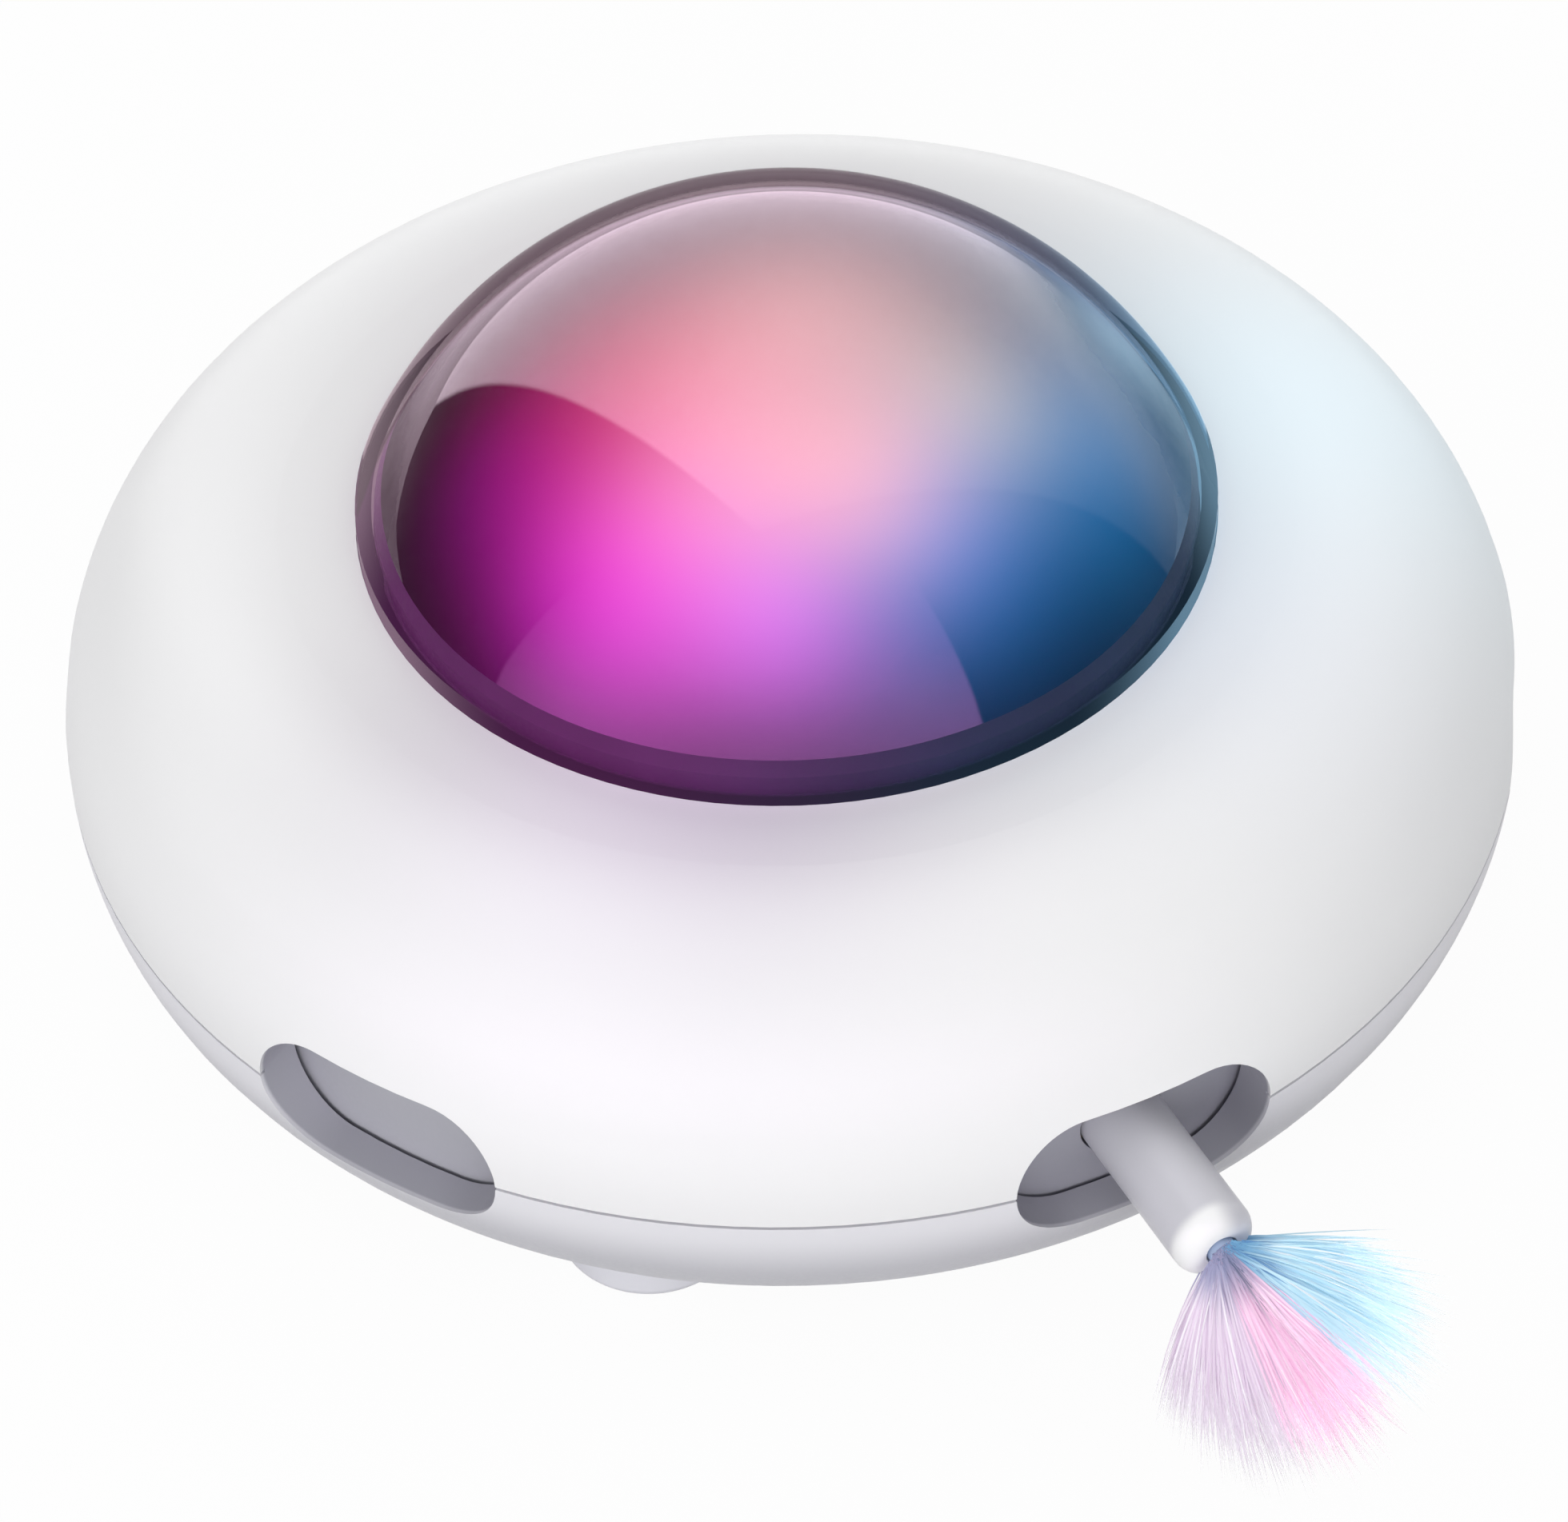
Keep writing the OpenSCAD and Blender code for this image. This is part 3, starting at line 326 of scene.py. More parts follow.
# Shares of a strand's length between which its colour turns from root to middle and from middle to tip, and
# between which it thins out to the cover that its tip has
ROOT_TURN = (0.02, 0.32)
TIP_TURN = (0.50, 1.0)
THINNING = (0.60, 1.0)
TIP_COVER = 0.22

# A few strands have a dark stroke near the root, and a few are pale further out
DARK_STRANDS = (0.86, 0.92)
DARK_STROKE = (0.12, 0.48)
DARK_SHARE = 0.8
PALE_STRANDS = (0.10, 0.16)
PALE_FROM = (0.10, 0.40)
PALE_SHARE = 0.7
PALE_COLOUR = (0.93, 0.92, 0.95)


def strand_tint():
    """Group: colour of a strand from its root over its middle to its tip, varied strand by strand."""
    group, entry, leave = group_frame(
        "strand_tint",
        [("Root", "Color", rgba((0.1, 0.1, 0.2))), ("Middle", "Color", rgba((0.5, 0.5, 0.8))),
         ("Tip", "Color", grey(0.9)), ("Dark", "Color", grey(0.3))],
        [("Colour", "Color"), ("Cover", "Float")])
    along = add(group, "ShaderNodeAttribute", attribute_name="along").outputs["Fac"]
    strand = add(group, "ShaderNodeAttribute", attribute_name="strand").outputs["Fac"]
    low = mix_colours(group, ramp(group, along, *ROOT_TURN), entry["Root"], entry["Middle"])
    full = mix_colours(group, ramp(group, along, *TIP_TURN), low, entry["Tip"])
    pale_strand = ramp(group, strand, *PALE_STRANDS, PALE_SHARE, 0.0)
    pale = math_node(group, "MULTIPLY", pale_strand, ramp(group, along, *PALE_FROM))
    light = mix_colours(group, pale, full, rgba(PALE_COLOUR))
    stroke = ramp(group, along, *DARK_STROKE, DARK_SHARE, 0.0)
    dark = math_node(group, "MULTIPLY", ramp(group, strand, *DARK_STRANDS), stroke)
    group.links.new(mix_colours(group, dark, light, entry["Dark"]), leave["Colour"])
    group.links.new(ramp(group, along, *THINNING, 1.0, TIP_COVER), leave["Cover"])
    return group


GRAIN = moulded_grain()
STREAKS = metal_streaks()
GLOW = glow_spot()
RECESS = recess_shade()
ACROSS = left_to_right()
STRAND = strand_tint()


# Materials


def new_material(name):
    """Material with its node tree and its one Principled shader."""
    material = bpy.data.materials.new(name)
    material.use_nodes = True
    tree = material.node_tree
    return material, tree, tree.nodes["Principled BSDF"]


def use_group(tree, group, **feeds):
    """Group placed in a material with its own values."""
    return add(tree, "ShaderNodeGroup", feeds, node_tree=group).outputs


def across_toy(tree, left, right, start, end):
    """Colour that turns from left to right between two places across the toy."""
    return use_group(tree, ACROSS, Left=rgba(left), Right=rgba(right), From=start, To=end)["Colour"]


def glows(tree, under, spots):
    """Colour with soft spots of light added to it, each given by its colour, place and reach."""
    for colour, at, reach in spots:
        under = use_group(tree, GLOW, Under=under, Colour=rgba(colour), Place=at, Reach=reach)["Colour"]
    return under


def dress(tree, shader, made, colour=None, depth=GRAIN_DEPTH):
    """Gives a shader a colour, and a group's roughness and fine relief of depth metres."""
    tint = made["Colour"] if colour is None else colour
    relief = add(tree, "ShaderNodeBump", {"Height": made["Height"], "Strength": 1.0, "Distance": depth})
    tree.links.new(tint, shader.inputs["Base Color"])
    tree.links.new(made["Roughness"], shader.inputs["Roughness"])
    tree.links.new(relief.outputs["Normal"], shader.inputs["Normal"])


def plastic(name, colour, drift, smooth=0.3, rough=0.42, grain=GRAIN_SCALE, depth=GRAIN_DEPTH,
            specular=0.5, coat=0.0):
    """Moulded plastic or rubber: drifting colour, grained roughness and a fine relief."""
    material, tree, shader = new_material(name)
    made = use_group(tree, GRAIN, Colour=rgba(colour), Drift=rgba(drift), Grain=grain, Smooth=smooth,
                     Rough=rough)
    dress(tree, shader, made, depth=depth)
    shader.inputs["Specular IOR Level"].default_value = specular
    shader.inputs["Coat Weight"].default_value = coat
    return material


def metal(name, colour, drift, fineness=900.0):
    """Drawn or rolled metal with fine streaks."""
    material, tree, shader = new_material(name)
    made = use_group(tree, STREAKS, Colour=rgba(colour), Drift=rgba(drift), Fineness=fineness)
    dress(tree, shader, made, depth=STREAK_DEPTH)
    shader.inputs["Metallic"].default_value = 1.0
    return material


# Painted shade of the dome on the deck: share that is lost, place in metres and reach in metres
DOME_SHADES = [
    (0.14, (-0.002, -0.058, 0.057), 0.019),
    (0.13, (-0.040, -0.045, 0.057), 0.021),
]

# Painted light of the dome on the deck, given out as emission: colour, place in metres and reach in metres
DOME_SPILLS = [
    ((0.06, 0.0, 0.09), (-0.012, -0.050, 0.057), 0.030),
    ((0.0, 0.02, 0.06), (0.048, -0.020, 0.057), 0.026),
    ((0.04, 0.14, 0.19), (0.062, 0.022, 0.057), 0.032),
]


def shell_plastic(name, colour, drift, shades=(), spills=()):
    """Satin housing plastic: painted shade in its openings and under it, and the dome's painted shade and
    light in spots.
    """
    material, tree, shader = new_material(name)
    made = use_group(tree, GRAIN, Colour=rgba(colour), Drift=rgba(drift), Smooth=0.34, Rough=0.44)
    tint = use_group(tree, RECESS, Colour=made["Colour"], Shaded=rgba(PAINTED_RECESS_SHADE))["Colour"]
    # painted shade of the dome on the deck, in soft dark spots
    for share, at, reach in shades:
        spot = use_group(tree, GLOW, Colour=grey(share), Place=at, Reach=reach)["Colour"]
        tint = mix_colours(tree, spot, tint, rgba(BLACK))
    dress(tree, shader, made, tint)
    shader.inputs["Specular IOR Level"].default_value = 0.3
    # painted light of the dome on the deck, as emission of the housing
    if spills:
        tree.links.new(glows(tree, rgba(BLACK), spills), shader.inputs["Emission Color"])
        shader.inputs["Emission Strength"].default_value = 1.0
    return material


# Dark ring in the dome's foot: its colours, also its painted glow, and where across the toy they turn
RING_LEFT = (0.18, 0.045, 0.175)
RING_RIGHT = (0.030, 0.065, 0.105)
RING_TURN = (-0.03, 0.03)
RING_DRIFT = (0.03, 0.015, 0.04)


def ring_plastic():
    """Dark ring in the dome's foot, plum on the left and navy on the right, with a faint painted glow."""
    material, tree, shader = new_material("ring_dark")
    tint = across_toy(tree, RING_LEFT, RING_RIGHT, *RING_TURN)
    made = use_group(tree, GRAIN, Colour=tint, Drift=rgba(RING_DRIFT), Patch=40.0, Smooth=0.5, Rough=0.6)
    dress(tree, shader, made)
    # painted glow: the ring gives out its own colours faintly as emission, in place of the lamps' light on
    # it
    tree.links.new(tint, shader.inputs["Emission Color"])
    shader.inputs["Emission Strength"].default_value = 0.3
    shader.inputs["Specular IOR Level"].default_value = 0.2
    return material


# Drum behind the openings: its colours, darker on the right as painted shade, and where across the toy they
# turn
DRUM_LEFT = (0.42, 0.42, 0.465)
DRUM_RIGHT = (0.35, 0.35, 0.40)
DRUM_TURN = (-0.04, 0.04)


def drum_plastic():
    """Grey drum behind the openings, with painted shade making it darker on the wand's side."""
    material, tree, shader = new_material("drum_grey")
    # painted shade: the drum's grey turns darker towards the wand's side
    tint = across_toy(tree, DRUM_LEFT, DRUM_RIGHT, *DRUM_TURN)
    dress(tree, shader, use_group(tree, GRAIN, Colour=tint, Drift=tint, Smooth=0.38, Rough=0.5))
    return material


# Clear cover: the tints of its glass, of its wall seen edge on, and of the painted reflection on its foot,
# which is given out as emission, with the places across the toy between which they turn
COVER_LEFT = (1.0, 0.92, 0.97)
COVER_RIGHT = (0.90, 0.97, 1.0)
COVER_TURN = (0.0, 0.05)
EDGE_LEFT = (0.140, 0.095, 0.108)
EDGE_RIGHT = (0.030, 0.085, 0.160)
PAINTED_GLANCE_LEFT = (0.16, 0.125, 0.14)
PAINTED_GLANCE_RIGHT = (0.11, 0.20, 0.275)
PAINTED_GLANCE_TURN = (-0.03, 0.03)
SMOKE = (0.42, 0.30, 0.40)

# Cap of the cover, part of a ball over a flange: the rise and the depths under its skin over which its mask
# fades, and the rises between which the painted reflection on the foot fades
COVER_FLANGE = 0.0032
COVER_FOOT = float(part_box("dome_cover")[0][2]) + COVER_FLANGE
COVER_TOP = float(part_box("dome_cover")[1][2])
COVER_R = 0.05762
CAP_RISE = 0.0008
SKIN_DEPTH = (0.0012, 0.0008)
PAINTED_GLANCE_RISE = (0.001, 0.020)

# How nearly edge on the wall is seen where the dark band and the painted reflection set in
BAND_FACING = (0.70, 0.725)
PAINTED_GLANCE_FACING = (0.46, 0.76)


def cover_masks():
    """Group: outer skin of the cover's cap, by the distance from the ball's centre, and its low part."""
    group, _, leave = group_frame("cover_masks", [], [("Cap", "Float"), ("Foot", "Float")])
    place = object_place(group)
    apart = vector_node(group, "DISTANCE", place, (0.0, 0.0, COVER_TOP - COVER_R))["Value"]
    height = coordinate(group, place, "Z")
    high = ramp(group, height, COVER_FOOT, COVER_FOOT + CAP_RISE)
    skin = ramp(group, apart, COVER_R - SKIN_DEPTH[0], COVER_R - SKIN_DEPTH[1])
    foot = ramp(group, height, COVER_FOOT + PAINTED_GLANCE_RISE[0], COVER_FOOT + PAINTED_GLANCE_RISE[1], 1.0, 0.0)
    group.links.new(math_node(group, "MULTIPLY", high, skin), leave["Cap"])
    group.links.new(foot, leave["Foot"])
    return group


def smoked_dome():
    """Clear polished cover, dark where its wall is seen edge on, with a painted reflection on its foot's
    sides.
    """
    material, tree, shader = new_material("smoked_dome")
    clear = across_toy(tree, COVER_LEFT, COVER_RIGHT, *COVER_TURN)
    edge = across_toy(tree, EDGE_LEFT, EDGE_RIGHT, *COVER_TURN)
    painted_shine = across_toy(tree, PAINTED_GLANCE_LEFT, PAINTED_GLANCE_RIGHT, *PAINTED_GLANCE_TURN)
    masks = use_group(tree, cover_masks())
    facing = edge_on(tree)
    outer = math_node(tree, "SUBTRACT", 1.0, add(tree, "ShaderNodeNewGeometry").outputs["Backfacing"])
    cap = math_node(tree, "MULTIPLY", masks["Cap"], outer)
    foot = math_node(tree, "MULTIPLY", masks["Foot"], outer)
    dark = math_node(tree, "MULTIPLY", ramp(tree, facing, *BAND_FACING), cap)
    # painted reflection on the foot's sides, given out as emission
    painted_glance = math_node(tree, "MULTIPLY", ramp(tree, facing, *PAINTED_GLANCE_FACING), foot)
    tree.links.new(mix_colours(tree, dark, clear, edge), shader.inputs["Base Color"])
    tree.links.new(scaled(tree, painted_shine, painted_glance), shader.inputs["Emission Color"])
    shader.inputs["Emission Strength"].default_value = 1.0
    shader.inputs["Transmission Weight"].default_value = 1.0
    shader.inputs["IOR"].default_value = 1.01
    shader.inputs["Roughness"].default_value = 0.0
    smoke = add(tree, "ShaderNodeVolumeAbsorption", {"Color": rgba(SMOKE), "Density": 30.0})
    tree.links.new(smoke.outputs["Volume"], tree.nodes["Material Output"].inputs["Volume"])
    return material


# Glows of the lit dome over its base: colour, place in metres and reach in metres
DOME_BASE_LEFT = (0.010, 0.0, 0.008)
DOME_BASE_RIGHT = (0.0, 0.004, 0.010)
DOME_BASE_TURN = (-0.03, 0.04)
DOME_GLOWS = [
    ((0.54, 0.18, 0.00), (0.011, -0.026, 0.083), 0.012),
    ((0.42, 0.25, 0.31), (-0.004, -0.028, 0.083), 0.014),
    ((0.60, 0.02, 0.57), (-0.017, -0.035, 0.074), 0.014),
    ((0.46, 0.00, 0.08), (-0.016, -0.017, 0.085), 0.019),
    ((0.00, 0.21, 0.64), (0.017, -0.029, 0.079), 0.016),
    ((0.34, 0.06, 0.45), (0.001, -0.039, 0.074), 0.011),
    ((0.46, 0.26, 0.23), (0.004, -0.006, 0.090), 0.018),
    ((0.20, 0.30, 0.37), (0.039, 0.015, 0.071), 0.010),
    ((0.06, 0.00, 0.11), (-0.031, -0.019, 0.077), 0.012),
    ((0.00, 0.13, 0.34), (0.037, -0.011, 0.075), 0.016),
    ((0.25, 0.22, 0.13), (0.023, -0.013, 0.084), 0.012),
    ((0.06, 0.20, 0.46), (0.029, 0.036, 0.065), 0.015),
    ((0.36, 0.14, 0.44), (0.004, 0.046, 0.065), 0.015),
    ((0.42, 0.04, 0.28), (-0.025, 0.039, 0.065), 0.015),
]
FROST = (0.008, 0.004, 0.008)
FROST_DRIFT = (0.006, 0.004, 0.008)

# The inner dome's coat is dull where it is low, measured along a slanted line, and seen edge on
DULL_WAY = (-0.155, 0.0, 1.0)
DULL_LEVEL = (0.069, 0.078)
DULL_FACING = (0.48, 0.72)
DULL_SHARE = 0.9


def lit_diffuser():
    """Frosted inner dome, lit from below in soft spots over a base that runs from plum to navy."""
    material, tree, shader = new_material("lit_diffuser")
    base = across_toy(tree, DOME_BASE_LEFT, DOME_BASE_RIGHT, *DOME_BASE_TURN)
    tree.links.new(glows(tree, base, DOME_GLOWS), shader.inputs["Emission Color"])
    shader.inputs["Emission Strength"].default_value = 1.07
    frost = use_group(tree, GRAIN, Colour=rgba(FROST), Drift=rgba(FROST_DRIFT), Patch=40.0, Grain=500.0,
                      Smooth=0.55, Rough=0.65)
    tree.links.new(frost["Colour"], shader.inputs["Base Color"])
    tree.links.new(frost["Roughness"], shader.inputs["Roughness"])
    shader.inputs["Specular IOR Level"].default_value = 0.1
    level = vector_node(tree, "DOT_PRODUCT", object_place(tree), DULL_WAY)["Value"]
    low = ramp(tree, level, *DULL_LEVEL, DULL_SHARE, 0.0)
    dull = math_node(tree, "MULTIPLY", ramp(tree, edge_on(tree), *DULL_FACING), low)
    tree.links.new(math_node(tree, "SUBTRACT", 1.0, dull), shader.inputs["Coat Weight"])
    shader.inputs["Coat IOR"].default_value = 1.9
    shader.inputs["Coat Roughness"].default_value = 0.01
    return material


# Wand: tube greys, white of the painted highlight on its end, and where it sets in along the tube and
# across it
WAND_GREY = (0.65, 0.645, 0.70)
WAND_DRIFT = (0.60, 0.595, 0.65)
WAND_TIP_HIGHLIGHT = (0.93, 0.93, 0.94)
HIGHLIGHT_FROM_TIP = (0.0036, 0.0020)
HIGHLIGHT_ACROSS = (-0.0005, 0.0025)


def wand_plastic():
    """Grey tube whose rounded end has a painted highlight, white on its front side."""
    material, tree, shader = new_material("wand_plastic")
    place = object_place(tree)
    way = vector_node(tree, "DOT_PRODUCT", place, tuple(WAND_WAY))["Value"]
    side = vector_node(tree, "DOT_PRODUCT", place, tuple(WAND_SIDE))["Value"]
    # painted highlight: the front side of the rounded end is painted white
    front = ramp(tree, side, *HIGHLIGHT_ACROSS, 1.0, 0.0)
    end = ramp(tree, way, WAND_TIP_AT - HIGHLIGHT_FROM_TIP[0], WAND_TIP_AT - HIGHLIGHT_FROM_TIP[1])
    white = math_node(tree, "MULTIPLY", end, front)
    made = use_group(tree, GRAIN, Colour=rgba(WAND_GREY), Drift=rgba(WAND_DRIFT), Patch=60.0, Grain=1800.0,
                     Smooth=0.28, Rough=0.4)
    dress(tree, shader, made, mix_colours(tree, white, made["Colour"], rgba(WAND_TIP_HIGHLIGHT)))
    return material


def lamp_epoxy():
    """Lamp body of yellowish clear resin that gives a soft light."""
    material, tree, shader = new_material("lamp_epoxy")
    made = use_group(tree, GRAIN, Colour=rgba((0.93, 0.88, 0.62)), Drift=rgba((0.9, 0.84, 0.55)),
                     Patch=500.0, Grain=4000.0, Smooth=0.15, Rough=0.25)
    dress(tree, shader, made, depth=0.000002)
    tree.links.new(made["Colour"], shader.inputs["Emission Color"])
    shader.inputs["Emission Strength"].default_value = 0.6
    return material


def feather_barbs(name, root, middle, tip, dark):
    """Soft feather barbs, coloured along their length, with a faint painted glow in their own colour."""
    material, tree, shader = new_material(name)
    made = use_group(tree, STRAND, Root=rgba(root), Middle=rgba(middle), Tip=rgba(tip), Dark=rgba(dark))
    tree.links.new(made["Colour"], shader.inputs["Base Color"])
    # painted glow: a little of the barbs' colour given out as emission
    tree.links.new(made["Colour"], shader.inputs["Emission Color"])
    tree.links.new(made["Cover"], shader.inputs["Alpha"])
    shader.inputs["Emission Strength"].default_value = 0.03
    shader.inputs["Roughness"].default_value = 0.7
    shader.inputs["Specular IOR Level"].default_value = 0.15
    shader.inputs["Sheen Weight"].default_value = 0.3
    return material


# Finish of each CAD node listed here
INNER_WHITE = plastic("inner_white", (0.80, 0.80, 0.79), (0.76, 0.76, 0.76))
INNER_GREY = plastic("inner_grey", (0.16, 0.17, 0.20), (0.13, 0.14, 0.17))
GEAR_IVORY = plastic("gear_ivory", (0.76, 0.72, 0.61), (0.70, 0.66, 0.55))
SCREW_STEEL = metal("screw_steel", (0.56, 0.56, 0.58), (0.42, 0.42, 0.44))
MOTOR_STEEL = metal("motor_steel", (0.58, 0.56, 0.50), (0.46, 0.44, 0.40))
SOCKET_STEEL = metal("socket_steel", (0.62, 0.62, 0.64), (0.50, 0.50, 0.53))
BOARD_GREEN = plastic("board_green", (0.020, 0.11, 0.045), (0.014, 0.085, 0.035), coat=0.4)
FOOT_RUBBER = plastic("foot_rubber", (0.74, 0.74, 0.79), (0.70, 0.70, 0.75), smooth=0.5, rough=0.68,
                      grain=900.0, depth=0.000012, specular=0.3)
FINISHES = {
    "top_shell": shell_plastic("shell_white", (0.90, 0.90, 0.905), (0.875, 0.875, 0.885),
                               DOME_SHADES, DOME_SPILLS),
    "bottom_shell": shell_plastic("lower_shell", (0.825, 0.82, 0.86), (0.80, 0.795, 0.84)),
    "dome_cover": smoked_dome(),
    "dome_diffuser": lit_diffuser(),
    "dome_ring": ring_plastic(),
    "carousel": drum_plastic(),
    "wand_tube": wand_plastic(),
    "feather_ferrule": plastic("ferrule_blue", (0.42, 0.52, 0.72), (0.36, 0.46, 0.66),
                               smooth=0.5, rough=0.7),
    "light_deck": INNER_WHITE,
    "wand_guide": INNER_WHITE,
    "chassis_plate": INNER_GREY,
    "switch_body": INNER_GREY,
    "wand_carriage": INNER_GREY,
    "ring_gear": GEAR_IVORY,
    "turn_pinion": GEAR_IVORY,
    "wand_pinion": GEAR_IVORY,
    "wand_rack": GEAR_IVORY,
    "wand_bush": plastic("bush_tan", (0.45, 0.36, 0.22), (0.40, 0.32, 0.19)),
    "lamp_board": BOARD_GREEN,
    "main_board": BOARD_GREEN,
    "lamps": lamp_epoxy(),
    "deck_screws": SCREW_STEEL,
    "chassis_screws": SCREW_STEEL,
    "board_screws": SCREW_STEEL,
    "guide_screws": SCREW_STEEL,
    "rack_screws": SCREW_STEEL,
    "wand_motor": MOTOR_STEEL,
    "turn_motor": MOTOR_STEEL,
    "usb_socket": SOCKET_STEEL,
    "battery": metal("battery_foil", (0.68, 0.69, 0.71), (0.58, 0.59, 0.62), 300.0),
    "switch_knob": plastic("knob_black", (0.018, 0.018, 0.02), (0.013, 0.013, 0.015)),
    "foot_front": FOOT_RUBBER,
    "foot_right": FOOT_RUBBER,
    "foot_back": FOOT_RUBBER,
    "foot_left": FOOT_RUBBER,
}
for node_name, finish in FINISHES.items():
    slots = nodes[node_name].data.materials
    slots.clear()
    slots.append(finish)


# Feather tuft: three plumes of fine flat barbs out of the wand's end

# Form of a barb, with the shares of its length at which its rings and its tip lie
BARB_RINGS = 6
BARB_SIDES = 3
BARB_POINTS = BARB_RINGS * BARB_SIDES + 1
BARB_SHARES = np.linspace(0.0, 1.0, BARB_RINGS + 1)
BARB_HALF_WIDTH = 0.00017
BARB_WIDTHS = (0.6, 1.2)
BARB_TAPER = 0.8
BARB_FLATNESS = 0.15
BARB_TWIST = 0.35

# Locks of barbs, and how far a lock, and each barb in it, strays from the plume's even form
LOCK_SIZE = 10
BARB_STRAY = 0.13
LOCK_LEAST_REACH = 0.86
BARB_LEAST_REACH = 0.72
CURL_IN = -0.15
LOCK_CURL = 0.05
BARB_CURL = 0.04
LOCK_LIFT = 0.05
BARB_LIFT = 0.02

# Places where barbs start, as shares of the nose's radius along their way and to its side
START_SPAN = (-0.5, 0.3)
START_STRAY = 0.25

# Form of each plume: middle angle and half spread in degrees, number of barbs, length in metres, the share
# by which its sides are shorter, the share by which one side is longer than the other, and its seed
PLUMES = {
    "plume_blue": dict(middle=72, spread=20, count=800, length=0.0285, side_cut=0.10, skew=-0.18, seed=11),
    "plume_pink": dict(middle=36, spread=18, count=800, length=0.0315, side_cut=0.12, skew=-0.03, seed=12),
    "plume_lilac": dict(middle=-3, spread=25, count=800, length=0.0272, side_cut=0.05, skew=0.20, seed=13),
}

# Colours of each plume: root, middle, tip and dark stroke
PLUME_COLOURS = {
    "plume_blue": ((0.17, 0.38, 0.60), (0.56, 0.79, 0.91), (0.77, 0.91, 0.97), (0.10, 0.24, 0.48)),
    "plume_pink": ((0.24, 0.26, 0.42), (0.93, 0.66, 0.84), (0.96, 0.70, 0.85), (0.04, 0.08, 0.16)),
    "plume_lilac": ((0.34, 0.34, 0.52), (0.81, 0.70, 0.83), (0.74, 0.70, 0.76), (0.34, 0.28, 0.42)),
}


def fan_axes():
    """Three unit rows of the fan's plane: its zero line, the line a quarter turn on, and its normal.

    They are the wand's way, its side and up, tilted down about the side by the lean, then turned about up.
    """
    lean = np.array([[math.cos(FAN_LEAN), 0.0, math.sin(FAN_LEAN)], [0.0, 1.0, 0.0],
                     [-math.sin(FAN_LEAN), 0.0, math.cos(FAN_LEAN)]])
    turn = np.array([[math.cos(FAN_TURN), -math.sin(FAN_TURN), 0.0],
                     [math.sin(FAN_TURN), math.cos(FAN_TURN), 0.0], [0.0, 0.0, 1.0]])
    wand = np.column_stack([WAND_WAY, WAND_SIDE, UP])
    return (wand @ turn @ lean).T


def nose_middle():
    """Middle of the ball at the ferrule's end, where every strand starts."""
    ferrule = node_points("feather_ferrule")
    height = 0.5 * (ferrule[:, 2].min() + ferrule[:, 2].max())
    return WAND_WAY * ((ferrule @ WAND_WAY).max() - NOSE_R) + UP * height


def barb_paths(rng, count, middle, spread, length, side_cut, skew):
    """Path of each barb, as its points from foot to tip, with the way it leaves in and the way across it.

    A barb starts on the front or the back of the nose and leaves at an angle in the fan's plane, drawn in
    locks that are spread evenly over the plume. Its path is start + reach * (share * way + share^2 * curl),
    where curl draws it to the fan's middle, and its height over the fan's plane falls with (1 - share)^2.
    Its reach is less at the plume's sides and grows to one side by the skew.
    """
    zero, quarter, normal = fan_axes()
    locks = count // LOCK_SIZE + 1
    lock_of = np.arange(count) % locks
    even = 2.0 * (np.arange(locks) + rng.uniform(0.0, 1.0, locks)) / locks - 1.0
    off = even[lock_of] + rng.normal(0.0, BARB_STRAY, count)
    angle = math.radians(middle) + math.radians(spread) * off
    reach = length * (1.0 - side_cut * off ** 2 + skew * off)
    reach = reach * rng.uniform(LOCK_LEAST_REACH, 1.0, locks)[lock_of]
    reach = reach * rng.uniform(BARB_LEAST_REACH, 1.0, count)
    way = np.cos(angle)[:, None] * zero + np.sin(angle)[:, None] * quarter
    across = -np.sin(angle)[:, None] * zero + np.cos(angle)[:, None] * quarter
    curl = CURL_IN * (angle - FAN_MIDDLE)
    curl = curl + rng.normal(0.0, LOCK_CURL, locks)[lock_of] + rng.normal(0.0, BARB_CURL, count)
    lift = rng.normal(0.0, LOCK_LIFT, locks)[lock_of] + rng.normal(0.0, BARB_LIFT, count)
    face = np.where(rng.uniform(0.0, 1.0, count) < 0.5, 1.0, -1.0)
    lean_out = NOSE_R * np.sin(angle - FAN_MIDDLE) + rng.normal(0.0, START_STRAY * NOSE_R, count)
    start = nose_middle() + rng.uniform(*START_SPAN, count)[:, None] * NOSE_R * way
    start = start + lean_out[:, None] * (-math.sin(FAN_MIDDLE) * zero + math.cos(FAN_MIDDLE) * quarter)
    run = (reach[:, None] * BARB_SHARES)[:, :, None]
    bend = BARB_SHARES[None, :, None] * (curl[:, None] * across)[:, None, :]
    path = start[:, None, :] + run * (way[:, None, :] + bend)
    height = (face * NOSE_R)[:, None] * (1.0 - BARB_SHARES) ** 2
    height = height + lift[:, None] * reach[:, None] * BARB_SHARES
    return path + height[:, :, None] * normal, way, across


def barb_points(rng, path, way, across):
    """Corner points of each barb: flat rings round its path, turned by a random twist, and then its tip.

    A ring's half width shrinks with the square of the share that is run.
    """
    count = len(path)
    normal = fan_axes()[2]
    twist = rng.normal(0.0, BARB_TWIST, count)[:, None]
    side = np.cos(twist) * across + np.sin(twist) * normal
    other = np.cross(way, side)
    around = 2.0 * math.pi * np.arange(BARB_SIDES) / BARB_SIDES
    ring = np.cos(around)[None, :, None] * side[:, None, :]
    ring = ring + BARB_FLATNESS * np.sin(around)[None, :, None] * other[:, None, :]
    taper = 1.0 - BARB_TAPER * BARB_SHARES[:-1] ** 2
    half = BARB_HALF_WIDTH * rng.uniform(*BARB_WIDTHS, count)[:, None] * taper
    rings = path[:, :-1, None, :] + half[:, :, None, None] * ring[:, None, :, :]
    return np.concatenate([rings.reshape(count, -1, 3), path[:, -1:, :]], axis=1)


